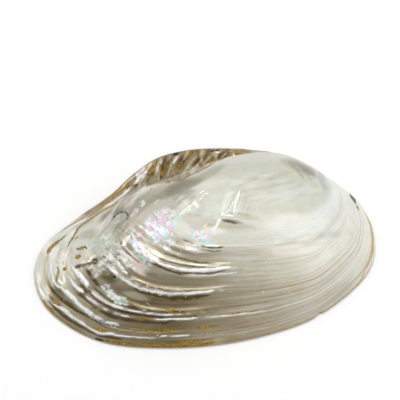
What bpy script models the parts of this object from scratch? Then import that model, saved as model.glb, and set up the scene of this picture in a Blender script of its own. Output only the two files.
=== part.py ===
"""A mussel shell: one valve lying dome up on its rim, with growth ridges, a pleated wing and a hollow underside.

+X points to the front end, +Y to the hinge, +Z up. Lengths below are in millimetres, measured from the beak,
the point where the shell began to grow. A turn is the share of the way round the margin, from just in front
of the beak, along the lower edge, to the back end and home along the hinge. Growth is 1 at the margin and 0
at the beak, and a number is how far in from the margin a growth line runs, from 0 to 1.
"""
import math

import bmesh
import bpy
import numpy as np

MM = 0.001

# The margin, seen from above: front of the beak, lower edge, back end, wing.
MARGIN = ((6, 4), (16, -2.5), (27, -10), (37.5, -20.5), (45.5, -33), (48.5, -51), (42.5, -68.5), (26, -83),
          (5, -93.3), (-26, -99), (-58, -98.6), (-88, -92), (-110, -75), (-117, -56), (-112, -39), (-95, -24.7),
          (-78, -13), (-66, -2), (-52, 7), (-34, 10), (-14, 8.5), (-4, 6.5))

# Growth: smaller copies of the margin, turned up about the hinge as they near the beak.
GROWTH_TURN = math.radians(104)
GROWTH_POWER = 0.60
HINGE_SOFTNESS = 10.0

# Rim and hinge plate.
EDGE_HEIGHT = 1.2
EDGE_ROUND = 0.4
RIM_FLAT = 1.2
LIP_WIDTH = 2.2
LIP_HEIGHT = 1.4
PLATE_WIDTH = 7.0
PLATE_HEIGHT = 0.9
GROOVE_DEPTH = 0.5
TOOTH_GAP = 0.3

# Hollow underside.
CAVITY_BEAK = (-3.0, -10.0)
CAVITY_TURN = math.radians(106)
SCARS = ((27, -27, 9, 0.5), (-84, -40, 9, 0.5))

# Growth lines run unevenly. Each row is how far in from the margin one of them runs, at these turns, as a share
# of growth. A line's name is its share at NAMING_TURN.
LINE_TURNS = (0.28, 0.36, 0.42, 0.46, 0.50, 0.54, 0.58, 0.61, 0.64, 0.72)
NAMING_TURN = 0.42
LINES = ((0.034, 0.039, 0.042, 0.038, 0.029, 0.024, 0.034, 0.024, 0.016, 0.030),
         (0.062, 0.068, 0.075, 0.070, 0.062, 0.063, 0.072, 0.078, 0.078, 0.078),
         (0.074, 0.084, 0.093, 0.091, 0.091, 0.095, 0.107, 0.114, 0.114, 0.105),
         (0.090, 0.104, 0.113, 0.106, 0.107, 0.113, 0.126, 0.145, 0.146, 0.135),
         (0.140, 0.165, 0.177, 0.175, 0.177, 0.194, 0.216, 0.228, 0.225, 0.200),
         (0.200, 0.232, 0.248, 0.246, 0.256, 0.285, 0.318, 0.332, 0.325, 0.290),
         (0.270, 0.305, 0.318, 0.325, 0.345, 0.375, 0.395, 0.395, 0.380, 0.350))
EVEN_NUMBER = 0.60
EVEN_TURNS = (0.18, 0.82)
LINE_SOFTNESS = 0.02
LINE_SAMPLES = 9

# Ridges and troughs: name of the growth line, height, and the turns between which a ridge is strong.
RIDGES = ((0.042, 0.8, 0.42, 0.61), (0.075, 0.8, 0.53, 0.64), (0.093, 0.8, 0.40, 0.60), (0.113, 1.0, 0.44, 0.61),
          (0.177, 1.2, 0.43, 0.57), (0.248, 1.0, 0.42, 0.57))
TROUGHS = ((0.145, -0.5), (0.213, -0.5), (0.290, -0.4))
RIDGE_HALF_WIDTH = 0.009
TROUGH_HALF_WIDTH = 0.020
RIDGE_FADE = 0.04
TROUGH_TURNS = (0.36, 0.48, 0.56, 0.62)
RING_NAMES = (0.0, 0.016, 0.032, 0.042, 0.051, 0.066, 0.075, 0.084, 0.093, 0.103, 0.113, 0.123, 0.145, 0.166,
              0.177, 0.188, 0.213, 0.237, 0.248, 0.259, 0.290, 0.318, 0.350, 0.390)

# Pleats across the wing.
PLEAT_SPACING = 4.7
PLEAT_SLANT = 0.45
PLEAT_HEIGHT = 0.8
WING_TURNS = (0.70, 0.78, 0.92, 0.97)

# Worn dents on the back ridge: place, radius and depth.
DENTS = ((-80, -60, 7, 0.7), (-75, -36, 5, 0.5), (-86, -49, 6, 0.4))

# Mesh fineness.
SPOKES = 70
BEAK_RINGS = 14
CAVITY_RINGS = 17
SMALLEST_RING = 0.03
CURVE_STEPS = 40

NACRE = (0.80, 0.78, 0.71, 1.0)


def smoothstep(value, low, high):
    t = np.clip((value - low) / (high - low), 0.0, 1.0)
    return t * t * (3 - 2 * t)


def bump(value, middle, half_width):
    return np.exp(-((value - middle) / half_width) ** 2)


def closed_curve(points):
    """A smooth closed curve through the points, and the share of its length at each place."""
    p = np.array(points, float)
    t = np.linspace(0, 1, CURVE_STEPS, endpoint=False)[:, None]
    pieces = []
    for i in range(len(p)):
        a, b, c, d = (p[(i + k) % len(p)] for k in (-1, 0, 1, 2))
        pieces.append(b + 0.5 * t * (c - a + t * (2 * a - 5 * b + 4 * c - d + t * (3 * b - a - 3 * c + d))))
    curve = np.vstack(pieces + [p[:1]])
    length = np.r_[0, np.cumsum(np.linalg.norm(np.diff(curve, axis=0), axis=1))]
    return curve, length / length[-1]


def spoke_turns():
    """Turns of the spokes, closer together on the wing and at the back end."""
    fine = np.linspace(0, 1, 2000)
    density = 1 + 1.1 * bump(fine, 0.85, 0.09) + 0.6 * bump(fine, 0.60, 0.08)
    total = np.r_[0, np.cumsum((density[1:] + density[:-1]) / 2)]
    return np.interp(np.arange(SPOKES) / SPOKES, total / total[-1], fine)


def margin_at(turns):
    curve, share = closed_curve(MARGIN)
    return np.stack([np.interp(turns, share, curve[:, k]) for k in (0, 1)], -1)


def inset(turns, distance):
    """The margin moved inwards by a distance, which may change along it."""
    step = 0.008
    along = margin_at((turns + step) % 1) - margin_at((turns - step) % 1)
    along /= np.linalg.norm(along, axis=1)[:, None]
    inwards = np.stack([along[:, 1], -along[:, 0]], -1)
    return margin_at(turns) + inwards * np.reshape(distance, (-1, 1))


def grown(outline, growth, turn_total):
    """A growth line: the outline shrunk by its growth numbers and turned up about the hinge."""
    growth = np.broadcast_to(growth, len(outline))
    turn = turn_total * (1 - growth ** GROWTH_POWER)
    y = outline[:, 1]
    depth = 0.5 * (np.sqrt(y * y + HINGE_SOFTNESS ** 2) - y)
    rise = y + depth
    line = np.stack([outline[:, 0], rise - depth * np.cos(turn), depth * np.sin(turn)], -1)
    return growth[:, None] * line


def line_numbers(names, turns):
    """How far in the named growth lines run at each turn, as rings of numbers."""
    shifts = np.linspace(-LINE_SOFTNESS, LINE_SOFTNESS, LINE_SAMPLES)
    stations = (EVEN_TURNS[0], *LINE_TURNS, EVEN_TURNS[1])
    row_names = [0.0]
    rows = [np.zeros(len(turns))]
    for line in LINES:
        name = np.interp(NAMING_TURN, LINE_TURNS, line)
        values = (name, *line, name)
        row_names.append(name)
        rows.append(np.mean([np.interp(turns + shift, stations, values) for shift in shifts], axis=0))
    row_names += [EVEN_NUMBER, 1.0]
    rows += [np.full(len(turns), EVEN_NUMBER), np.ones(len(turns))]
    return np.stack([np.interp(names, row_names, column) for column in np.array(rows).T], axis=-1)


def ridge_relief(name, turns):
    """Height of the ridges and troughs on one ring."""
    relief = np.zeros(len(turns))
    for place, height, first, last in RIDGES:
        along = smoothstep(turns, first - RIDGE_FADE, first) * (1 - smoothstep(turns, last, last + RIDGE_FADE))
        relief += height * bump(name, place, RIDGE_HALF_WIDTH) * along
    start, full, fade, end = TROUGH_TURNS
    along = smoothstep(turns, start, full) * (1 - smoothstep(turns, fade, end))
    for place, height in TROUGHS:
        relief += height * bump(name, place, TROUGH_HALF_WIDTH) * along
    return relief * smoothstep(name, 0, 0.02)


def pleat_relief(place, growth, turns):
    """Slanting pleats between the wing's edge and the dome."""
    wave = 0.5 + 0.5 * np.cos(2 * math.pi * (place[:, 0] - PLEAT_SLANT * place[:, 1]) / PLEAT_SPACING)
    start, full, fade, end = WING_TURNS
    along = smoothstep(turns, start, full) * (1 - smoothstep(turns, fade, end))
    across = smoothstep(growth, 0.3, 0.5) * (1 - smoothstep(growth, 0.93, 0.99))
    return PLEAT_HEIGHT * wave * along * across


def dent_relief(place, dents):
    relief = 0
    for x, y, radius, depth in dents:
        away = np.hypot(place[:, 0] - x, place[:, 1] - y)
        relief = relief - depth * (1 - smoothstep(away, 0.5 * radius, radius))
    return relief


def ring_normals(rings):
    """Upward unit normals of a stack of rings."""
    along = np.roll(rings, -1, axis=1) - np.roll(rings, 1, axis=1)
    across = np.gradient(rings, axis=0)
    normals = np.cross(along, across)
    normals /= np.linalg.norm(normals, axis=2)[:, :, None] + 1e-9
    return normals * np.sign(normals[:, :, 2:] + 1e-9)


def ring_names():
    """Names of the growth lines that carry the outer rings, from the beak outwards."""
    to_beak = 1 - np.geomspace(1 - RING_NAMES[-1], SMALLEST_RING, BEAK_RINGS + 1)[1:]
    return np.r_[RING_NAMES, to_beak][::-1]


def outer_rings(turns):
    """The outside, from the smallest ring round the beak to the margin."""
    outline = margin_at(turns)
    names = ring_names()
    numbers = line_numbers(names, turns)
    rings = np.array([grown(outline, 1 - number, GROWTH_TURN) for number in numbers])
    normals = ring_normals(rings)
    for ring, normal, name, number in zip(rings, normals, names, numbers):
        relief = ridge_relief(name, turns) + pleat_relief(ring, 1 - number, turns)
        relief += dent_relief(ring, DENTS) * smoothstep(name, 0.02, 0.06)
        ring += normal * np.reshape(relief, (-1, 1))
        ring[:, 2] = np.maximum(ring[:, 2], 0) + EDGE_HEIGHT
    return list(rings)


def plate_share(turns):
    """How far the hinge plate is developed: 0 on the thin lower edge, 1 behind the beak."""
    front = 1 - smoothstep(turns, 0.0, 0.13)
    back = smoothstep(turns, 0.68, 0.90)
    return np.maximum(0.9 * front, back)


def flat_end(turns):
    """How far in the flat band reaches that the shell rests on."""
    return EDGE_ROUND + RIM_FLAT * (1 + plate_share(turns))


def plate_end(turns):
    """How far in the lip or the hinge plate reaches, where the hollow starts."""
    return flat_end(turns) + LIP_WIDTH + PLATE_WIDTH * plate_share(turns)


def rim_rings(turns):
    """The flat rim that the shell rests on, then the lip or hinge plate with its groove and long tooth."""
    share = plate_share(turns)
    start = flat_end(turns)
    width = plate_end(turns) - start
    rings = []
    for distance in (np.full(len(turns), EDGE_ROUND), start):
        rings.append(np.c_[inset(turns, distance), np.zeros(len(turns))])
    for across, on_lip, on_plate in ((0.25, 0.3, GROOVE_DEPTH), (0.5, 0.7, TOOTH_GAP), (0.75, 1.0, GROOVE_DEPTH)):
        line = inset(turns, start + across * width)
        height = LIP_HEIGHT * on_lip * (1 - share) + on_plate * share
        rings.append(np.c_[line, height])
    return rings


def cavity_rings(turns):
    """The hollow, from its edge up to a point under the beak."""
    share = plate_share(turns)
    edge = inset(turns, plate_end(turns))
    edge_height = LIP_HEIGHT * (1 - share) + PLATE_HEIGHT * share
    rings = []
    for growth in 1 - np.linspace(0, 1 - SMALLEST_RING, CAVITY_RINGS) ** 1.1:
        ring = grown(edge - CAVITY_BEAK, growth, CAVITY_TURN)
        ring[:, :2] += CAVITY_BEAK
        ring[:, 2] += edge_height
        ring[:, 2] -= dent_relief(ring, SCARS) * smoothstep(1 - growth, 0.0, 0.1)
        rings.append(ring)
    return rings


def loft(rings):
    """One closed skin through closed rings of equal count, shut by a point at each end."""
    mesh = bmesh.new()
    loops = [[mesh.verts.new(point) for point in ring] for ring in rings]
    for upper, lower in zip(loops[:-1], loops[1:]):
        for k in range(len(upper)):
            after = (k + 1) % len(upper)
            mesh.faces.new((upper[k], upper[after], lower[after], lower[k]))
    for loop in (loops[0], loops[-1]):
        tip = mesh.verts.new(sum((vert.co for vert in loop), loop[0].co * 0) / len(loop))
        for k in range(len(loop)):
            mesh.faces.new((loop[k], loop[(k + 1) % len(loop)], tip))
    bmesh.ops.triangulate(mesh, faces=mesh.faces[:])
    bmesh.ops.recalc_face_normals(mesh, faces=mesh.faces[:])
    return mesh


def nacre_material():
    material = bpy.data.materials.new("nacre")
    material.use_nodes = True
    shader = material.node_tree.nodes["Principled BSDF"]
    shader.inputs["Base Color"].default_value = NACRE
    shader.inputs["Roughness"].default_value = 0.25
    shader.inputs["Metallic"].default_value = 0.0
    return material


def build_shell(collection):
    turns = spoke_turns()
    rings = outer_rings(turns) + rim_rings(turns) + cavity_rings(turns)
    points = np.vstack(rings)
    middle = (points.min(axis=0) + points.max(axis=0)) / 2
    middle[2] = 0
    skin = loft([(ring - middle) * MM for ring in rings])
    mesh = bpy.data.meshes.new("shell")
    skin.to_mesh(mesh)
    skin.free()
    mesh.shade_smooth()
    mesh.set_sharp_from_angle(angle=math.radians(50))
    shell = bpy.data.objects.new("shell", mesh)
    shell.data.materials.append(nacre_material())
    collection.objects.link(shell)
    return shell


def main():
    for old in list(bpy.data.objects):
        bpy.data.objects.remove(old, do_unlink=True)
    collection = bpy.data.collections.new("mussel_shell")
    bpy.context.scene.collection.children.link(collection)
    build_shell(collection)


main()
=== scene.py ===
"""Looks of the mussel shell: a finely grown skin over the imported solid, its nacre, floor, lights and camera.

The skin follows the solid's own rule of growth. Lengths are in millimetres, measured from the beak, the
point where the shell began to grow. A turn is the share of the way round the margin, from just in front of
the beak, along the lower edge, to the back end and home along the hinge. A number says how far in from the
margin a growth line starts: 0 at the margin and 1 at the beak.
"""
import itertools
import math

import bpy
import numpy as np
from mathutils import Matrix, Vector


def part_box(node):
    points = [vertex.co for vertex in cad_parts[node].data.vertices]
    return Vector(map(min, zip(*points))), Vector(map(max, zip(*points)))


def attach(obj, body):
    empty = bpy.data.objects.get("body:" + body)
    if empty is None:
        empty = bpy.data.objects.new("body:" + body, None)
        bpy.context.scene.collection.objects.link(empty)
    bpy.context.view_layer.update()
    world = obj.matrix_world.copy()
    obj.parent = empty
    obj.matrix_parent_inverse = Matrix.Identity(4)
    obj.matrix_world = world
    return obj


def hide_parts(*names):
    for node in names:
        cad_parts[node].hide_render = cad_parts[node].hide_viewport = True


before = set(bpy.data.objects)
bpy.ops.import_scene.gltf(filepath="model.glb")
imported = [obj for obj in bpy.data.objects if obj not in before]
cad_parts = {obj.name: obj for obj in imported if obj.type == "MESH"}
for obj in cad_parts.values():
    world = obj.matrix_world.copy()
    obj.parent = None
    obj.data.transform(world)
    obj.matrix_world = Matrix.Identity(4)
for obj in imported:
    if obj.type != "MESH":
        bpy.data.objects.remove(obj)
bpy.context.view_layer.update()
MM = 0.001
SEED = 7

# Growth, with the solid's own values.
MARGIN = (
    (6, 4), (16, -2.5), (27, -10), (37.5, -20.5), (45.5, -33), (48.5, -51), (42.5, -68.5), (26, -83),
    (5, -93.3), (-26, -99), (-58, -98.6), (-88, -92), (-110, -75), (-117, -56), (-112, -39), (-95, -24.7),
    (-78, -13), (-66, -2), (-52, 7), (-34, 10), (-14, 8.5), (-4, 6.5))
GROWTH_TURN = math.radians(104)
GROWTH_POWER = 0.60
HINGE_SOFTNESS = 10.0
EDGE_HEIGHT = 1.2
CAVITY_BEAK = (-3.0, -10.0)
CAVITY_TURN = math.radians(106)
LINE_TURNS = (0.28, 0.36, 0.42, 0.46, 0.50, 0.54, 0.58, 0.61, 0.64, 0.72)
NAMING_TURN = 0.42
LINES = ((0.034, 0.039, 0.042, 0.038, 0.029, 0.024, 0.034, 0.024, 0.016, 0.030),
         (0.062, 0.068, 0.075, 0.070, 0.062, 0.063, 0.072, 0.078, 0.078, 0.078),
         (0.074, 0.084, 0.093, 0.091, 0.091, 0.095, 0.107, 0.114, 0.114, 0.105),
         (0.090, 0.104, 0.113, 0.106, 0.107, 0.113, 0.126, 0.145, 0.146, 0.135),
         (0.140, 0.165, 0.177, 0.175, 0.177, 0.194, 0.216, 0.228, 0.225, 0.200),
         (0.200, 0.232, 0.248, 0.246, 0.256, 0.285, 0.318, 0.332, 0.325, 0.290),
         (0.270, 0.305, 0.318, 0.325, 0.345, 0.375, 0.395, 0.395, 0.380, 0.350))
EVEN_NUMBER = 0.60
EVEN_TURNS = (0.18, 0.82)
LINE_SOFTNESS = 0.012
LINE_SAMPLES = 9

# Rim: steps inwards and heights of the rounded edge, the flat band, then heights across lip and hinge plate.
EDGE_ROUND = 0.4
EDGE_STEPS = ((0.05, 0.55), (0.16, 0.18), (EDGE_ROUND, 0.0))
RIM_FLAT = 1.2
LIP_WIDTH = 2.2
LIP_HEIGHT = 1.4
PLATE_WIDTH = 7.0
PLATE_HEIGHT = 0.9
RIM_STEPS = (0.12, 0.25, 0.38, 0.5, 0.62, 0.75, 0.88)
ON_LIP = (0.12, 0.3, 0.5, 0.7, 0.88, 1.0, 1.0)
ON_PLATE = (0.30, 0.55, 0.42, 0.18, 0.40, 0.55, 0.75)
FLAT_START, FLAT_END, GROOVE_STEP = 2, 3, 7

# Ridges: name of the growth line, drift of the line towards the back end, height, half widths on the side of
# the margin and of the beak, and the turns between which the ridge is strong.
RIDGES = ((0.042, 0.0, 0.80, 0.006, 0.009, 0.42, 0.605), (0.056, 0.003, 0.30, 0.003, 0.004, 0.44, 0.63),
          (0.075, 0.0, 0.85, 0.007, 0.010, 0.535, 0.645), (0.093, 0.0, 0.70, 0.005, 0.008, 0.40, 0.605),
          (0.113, 0.0, 0.95, 0.006, 0.009, 0.44, 0.612), (0.124, 0.018, 0.55, 0.006, 0.010, 0.50, 0.585),
          (0.124, 0.0, 0.25, 0.003, 0.004, 0.40, 0.50), (0.177, 0.0, 1.15, 0.006, 0.011, 0.425, 0.572),
          (0.187, 0.0, 0.35, 0.003, 0.004, 0.36, 0.56), (0.248, 0.0, 1.00, 0.007, 0.010, 0.41, 0.565),
          (0.263, 0.0, 0.50, 0.004, 0.006, 0.41, 0.55), (0.232, 0.0, 0.22, 0.003, 0.003, 0.40, 0.48),
          (0.205, 0.0, 0.35, 0.004, 0.007, 0.52, 0.572), (0.222, 0.0, 0.40, 0.004, 0.007, 0.53, 0.572),
          (0.285, 0.0, 0.35, 0.004, 0.006, 0.50, 0.575), (0.305, 0.0, 0.30, 0.004, 0.005, 0.47, 0.57),
          (0.322, 0.0, 0.35, 0.003, 0.005, 0.40, 0.47), (0.018, 0.0, 0.15, 0.004, 0.004, 0.36, 0.66),
          (0.145, 0.0, 0.18, 0.003, 0.004, 0.38, 0.50), (0.160, 0.0, 0.15, 0.003, 0.004, 0.38, 0.50))
RIDGE_FADE = 0.035
DRIFT_TURNS = (0.50, 0.60)
TROUGHS = ((0.068, -0.25), (0.145, -0.5), (0.213, -0.5), (0.290, -0.4), (0.314, -0.3))
TROUGH_HALF_WIDTH = 0.018
TROUGH_TURNS = (0.36, 0.48, 0.56, 0.62)
KEEL_TURN, KEEL_WIDTH, KEEL_HEIGHT = 0.612, 0.016, 0.6
KEEL_NUMBERS = (0.0, 0.08, 0.3, 0.5)

# The wing's pleats, folds and furrows.
PLEAT_SPACING = 4.7
PLEAT_SLANT = 0.45
PLEAT_HEIGHT = 0.25
PLEAT_WANDER = 1.6
PLEAT_GROWTHS = (0.3, 0.5, 0.955, 0.995)
FOLD_HEIGHT = 0.35
FURROW_DEPTH = 0.55
WING_TURNS = (0.70, 0.78, 0.92, 0.97)

# Fine relief, and where the hollow ripples.
FINE_LINE_HEIGHT = 0.11
FINE_LINE_FADE = (0.20, 0.38)
UNEVENNESS = 0.25
RIPPLE_HEIGHT = 0.5
RIPPLE_TURNS = (0.44, 0.52, 0.70, 0.80)
RIPPLE_NUMBERS = (0.03, 0.1, 0.45, 0.6)

# Wear: place, radius and depth of dents, pits and muscle scars, then ovals of the crumbled back ridge.
DENTS = ((-80, -60, 7, 0.7), (-75, -36, 5, 0.5), (-86, -49, 6, 0.4))
PITS = (
    (-87.2, -57.9, 1.5, 0.7), (-91.4, -49.6, 0.7, 0.5), (-49.0, -20.1, 1.1, 0.4), (-101.9, -57.0, 0.6, 0.3),
    (-44.9, -7.2, 0.8, 0.4))
SCARS = ((27, -27, 9.9, 0.5), (-84, -40, 9.9, 0.5))
SCAR_ROUGHNESS = 0.25
CRUMBLED = ((-80.0, -57.5, 9.0, 5.0, 25), (-86.0, -62.5, 5.0, 2.5, 40))
WORN_SLOPE = (-83, -48, 10, 8, 40)
CRUMB_DEPTH = 0.32
NICK_TURN, NICK_HALF_TURN, NICK_DEPTH = 0.293, 0.0035, 0.9

# Mesh fineness. Spokes are closer where the density has a peak: its height, turn and reach.
SPOKES = 330
SPOKE_DENSITY = 0.6
FINE_TURNS = ((1.1, 0.86, 0.09), (1.7, 0.54, 0.12), (1.0, 0.293, 0.02), (0.6, 0.12, 0.04))
OUTER_RINGS = 236
CAVITY_RINGS = 52
SMALLEST_RING = 0.03
CURVE_STEPS = 60
MARGIN_STEP = 0.008

# Randomness: cells of the random lattice, size of the ring on which the grain runs, sway of painted lines and
# flakes in pixels, and the shift between two unlike draws.
CELLS = 32
GRAIN_RADIUS, GRAIN_HEIGHT = 70, 140
LINE_WAVER = 1.2
FLAKE_WAVER = 4.5
APART = (0.0, 37.0)

# Camera and framing, as in the photograph.
CAMERA_ELEVATION = math.radians(58)
CAMERA_AZIMUTH = math.radians(-6)
CAMERA_DISTANCE = 0.555
CAMERA_LENS = 100
CLIP_START = 0.01
SENSOR = 36
PICTURE = 400
CAMERA_TARGET = (0.30 * MM, 24.77 * MM, 0.0)

# Studio, in metres. A light is its name, place, size, power and whether the nacre mirrors it.
LIGHTS = (("overhead", (0.15, 0.30, 1.60), (1.6, 1.2), 12.6, False),
          ("back_strip", (0.075, 0.74, 1.19), (0.05, 0.55), 2.4, True),
          ("left_strip", (-0.95, 0.45, 0.95), (0.10, 0.80), 2.2, True),
          ("right_fill", (0.9, -0.5, 0.8), (0.7, 0.7), 3.0, True))
WORLD_LIGHT = 0.48
FLOOR_REACH = 3.0
FLOOR_FINISH = {"Base Color": (0.897, 0.897, 0.897, 1), "Roughness": 0.8, "Specular IOR Level": 0.1}

# Colours, as 0 to 255 on screen.
SLOPE = (203, 201, 188)
RIM = (150, 132, 96)
INSIDE = (228, 226, 214)
LOBE = (210, 213, 203)
LOBE_GREY = (196, 197, 184)
FRONT_BAND = (238, 243, 243)
FRONT = (236, 238, 234)
# The lower slopes: their brown-grey, darkened with painted shade where they face away from the light.
FRONT_LOW = (202, 198, 187)
MIDDLE_LOW = (176, 166, 144)
STROKE_GREY = (140, 136, 122)
OLIVE_GREY = (112, 98, 62)
# Dark brown of the troughs: their own stain, deepened with painted shade.
TROUGH_STAIN_AND_SHADE = (76, 58, 18)
# Painted highlights: the white along the ridge crests, and the paler glow beside it.
CREST_HIGHLIGHT = (255, 254, 249)
CREST_HALO_HIGHLIGHT = (222, 218, 204)
MOSS = (98, 92, 52)
WING_FURROW = (88, 56, 8)
WING_FOLD = (130, 112, 66)
WING_LIGHT = (198, 189, 160)
BACK_END = (226, 229, 222)
WORN = (200, 207, 196)
AMBER = (168, 120, 66)
WHITE = (246, 246, 240)
VIOLET_GREY = (186, 182, 188)
PALLIAL = (206, 202, 190)
STRIPE_DARK = (164, 151, 130)
DARK_STAIN = (34, 18, 4)
PALE_OCHRE = (200, 184, 144)
CREAM = (250, 240, 214)
YELLOW = (206, 180, 118)
PINK = (246, 214, 240)
ROSE = (242, 204, 208)
CYAN = (206, 244, 246)
MINT = (204, 240, 216)
LIME = (228, 242, 196)
LAVENDER = (230, 224, 242)
BRIGHT_PINK = (255, 206, 250)
BRIGHT_ROSE = (255, 214, 222)
BRIGHT_CYAN = (176, 246, 250)
BRIGHT_MINT = (196, 250, 214)

# Colours of the nacre along a random value: position and colour.
STREAK_RAMP = ((0.32, (188, 176, 154)), (0.47, (240, 236, 226)), (0.60, (255, 255, 255)))
TINT_RAMP = ((0.30, (246, 247, 243)), (0.50, (255, 254, 252)), (0.70, (250, 246, 236)))
# Pastel colours of the painted iridescent sheen.
PEARL_RAMP = ((0.0, (198, 246, 248)), (0.12, (255, 255, 255)), (0.24, (202, 197, 184)),
              (0.34, (255, 208, 247)), (0.46, (252, 250, 253)), (0.60, (200, 250, 224)),
              (0.68, (212, 207, 196)), (0.78, (240, 218, 255)), (0.88, (255, 250, 220)))
OCHRE_RAMP = ((0.34, (66, 42, 0)), (0.46, (136, 102, 14)), (0.62, (180, 146, 44)))
CRUMB_RAMP = ((0.34, (92, 84, 66)), (0.46, (190, 192, 182)), (0.60, (236, 240, 234)))

# Clouds of the nacre: blobs per unit along each axis, detail, roughness and distortion.
STREAKS = ((0.035, 0.035, 1.1), 4.0, 0.65)
FINE_STREAKS = ((0.06, 0.06, 3.2), 3.0, 0.6)
BLOTCHES = ((0.13, 0.13, 0.13), 4.0, 0.6)
SPECKLE = ((1.3, 1.3, 1.3), 4.0, 0.6)
CRUMBS = ((0.9, 0.9, 0.9), 5.0, 0.75)
BROKEN = ((0.28, 0.28, 0.75), 4.0, 0.7, 0.8)
CHIPPED = ((0.22, 0.22, 2.2), 3.0, 0.6)
RAGGED = ((0.30, 0.30, 0.9), 5.0, 0.7)

# Pearl flakes of painted iridescent sheen: cells per millimetre, and the wobble that bends their edges.
FLAKE_SCALE = 0.80
WOBBLE = {"Scale": 0.55, "Detail": 3.0, "Roughness": 0.7}
WOBBLE_REACH = 3.2

# Ragged marks: how far a cloud tears them, and the values between which they appear.
SHIMMER_EDGE = (2.4, 0.32, 0.54)
HIGHLIGHT_EDGE = (1.2, 0.20, 0.66)
OCHRE_EDGE = (0.9, 0.32, 0.78)
DARK_EDGE = (0.9, 0.42, 0.62)

# Polish: set values, the least roughness, and the reach of the fine bumps.
POLISH = {"Metallic": 0.22, "Specular IOR Level": 0.40, "Coat Weight": 0.12, "Coat Roughness": 0.12}
BASE_ROUGHNESS = 0.13
BUMP_STRENGTH, BUMP_HEIGHT = 0.7, 0.35 * MM

# Painted marks, which the nacre turns into stains, shimmer of painted iridescent sheen, painted highlights on
# the crests, and polish.
MARKS = ("ochre", "dark", "shimmer", "crest_highlight", "rough", "streak", "satin")

# Tones along the slopes, the lower ones darkened partly with painted shade: colour, turns, numbers over which
# it fades, strength and patchiness.
BACK_TURNS = (0.36, 0.47, 0.60, 0.66)
SLOPE_TONES = ((FRONT_LOW, (0.19, 0.28, 0.36, 0.44), (0.10, 0.24), 1.0, 0.0),
               (MIDDLE_LOW, (0.29, 0.37, 0.46, 0.56), (0.08, 0.26), 1.0, 0.0),
               (OLIVE_GREY, BACK_TURNS, (0.16, 0.33), 0.75, 0.5),
               (BACK_END, (0.585, 0.62, 0.68, 0.74), (0.16, 0.26), 0.85, 0.0))

# The lobe, the smooth middle of the dome: growth at which it ends at each turn.
LOBE_TURNS = (0.10, 0.15, 0.21, 0.25, 0.293, 0.34, 0.376, 0.41, 0.44, 0.51, 0.55, 0.60, 0.66)
LOBE_GROWTHS = (0.60, 0.66, 0.645, 0.65, 0.64, 0.628, 0.613, 0.59, 0.575, 0.53, 0.48, 0.46, 0.44)

# Lines along the growth: number, half width, first and last turn, strength.
OCHRE_LINES = (
    (0.003, 0.004, 0.17, 0.41, 0.62), (0.006, 0.008, 0.41, 0.535, 1.0), (0.003, 0.005, 0.545, 0.66, 0.75),
    (0.018, 0.0035, 0.14, 0.205, 0.95), (0.118, 0.003, 0.41, 0.48, 0.65), (0.090, 0.002, 0.35, 0.41, 0.6),
    (0.012, 0.005, 0.74, 0.84, 0.8))
PALE_LINES = ((0.228, 0.0025, 0.36, 0.47, 0.5), (0.032, 0.006, 0.76, 0.85, 0.8))
DARK_LINES = ((0.002, 0.008, 0.925, 0.955, 0.9), (0.0, 0.006, 0.86, 0.97, 0.7))
FRONT_BANDS = ((FRONT_BAND, (0.37, 0.03, 0.08, 0.36, 0.6)), (LOBE_GREY, (0.31, 0.014, 0.06, 0.30, 0.35)))
PALLIAL_LINE = (0.13, 0.006, 0.08, 0.60)
LINE_FADE, DARK_LINE_FADE, BAND_FADE = 0.012, 0.006, 0.03

# Random stripes: how many, the share of dark ones, then ranges of what each one has.
STRIPES = 34
DARK_STRIPES = 0.6
STRIPE_NUMBERS = (0.02, 0.30)
STRIPE_WIDTHS = (0.0012, 0.0032)
STRIPE_STARTS = (0.10, 0.30)
STRIPE_ENDS = (0.34, 0.46)
STRIPE_STRENGTHS = (0.25, 0.6)
STRIPE_RANGES = (STRIPE_NUMBERS, STRIPE_WIDTHS, STRIPE_STARTS, STRIPE_ENDS)

# From here to the wing's edge, places are pixels of the photograph's 400 by 400 frame. A line is its half
# width, then its points, and an oval is its middle, half lengths and angle.
# Painted highlights along the crests of the ridges.
CREST_HIGHLIGHT_TRACES = (
    (0.94, (40, 289), (42.5, 293.5), (49, 299.5)),
    (1, (52, 303), (62, 309), (80, 322), (97, 332), (104, 333.5), (112, 334), (118, 336)),
    (0.47, (116, 336), (140, 338), (156, 338)), (0.39, (160, 336.5), (189, 335)),
    (1.2, (56, 285), (61, 287.5), (66, 291), (82, 307.5), (88, 312), (102, 319.5)),
    (0.55, (106, 321.5), (119, 325.5)), (1, (70, 279), (74, 284.5), (79, 289), (84, 292.5)),
    (0.7, (86, 296), (96, 304), (102, 307.5), (108, 310)), (0.47, (112, 312.5), (120, 315.5), (129, 317)),
    (0.55, (152, 319.5), (165, 319.5), (190, 318.5), (200, 317)),
    (0.31, (205, 317), (220, 316.5), (250, 313.5), (266, 311)), (1.2, (73.5, 268), (79, 277)),
    (1, (79, 272), (82, 277), (89, 286)), (0.94, (91, 292), (102, 300), (109, 303.5), (124, 309.5)),
    (0.47, (122, 309), (133, 311.5), (145, 313.5), (158, 314.8), (172, 315), (184, 314)),
    (0.94, (107, 266), (118, 275), (125, 280), (132, 284.5), (140, 288.5)),
    (0.78, (138, 288), (150, 291), (162, 293), (174, 294), (184, 294)),
    (0.86, (178, 294), (190, 293.5), (214, 290.8)), (0.78, (158, 262.5), (178, 269)),
    (1.1, (176, 268.5), (188, 271), (202, 271), (216, 269.5), (231, 267)),
    (0.47, (188, 263.5), (197, 265.5), (207, 266), (223, 265)),
    (0.39, (184, 275), (200, 275.8), (215, 274.7), (240, 272)),
    (0.78, (131, 232), (136, 241), (143, 248), (151, 254), (160, 259)), (1, (119, 250), (133, 262)),
    (0.94, (117, 261), (122, 268), (128, 274)), (1.2, (124, 246), (126, 241), (130, 235)),
    (0.7, (51, 262), (51, 272), (53, 280), (58, 288)))
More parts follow.
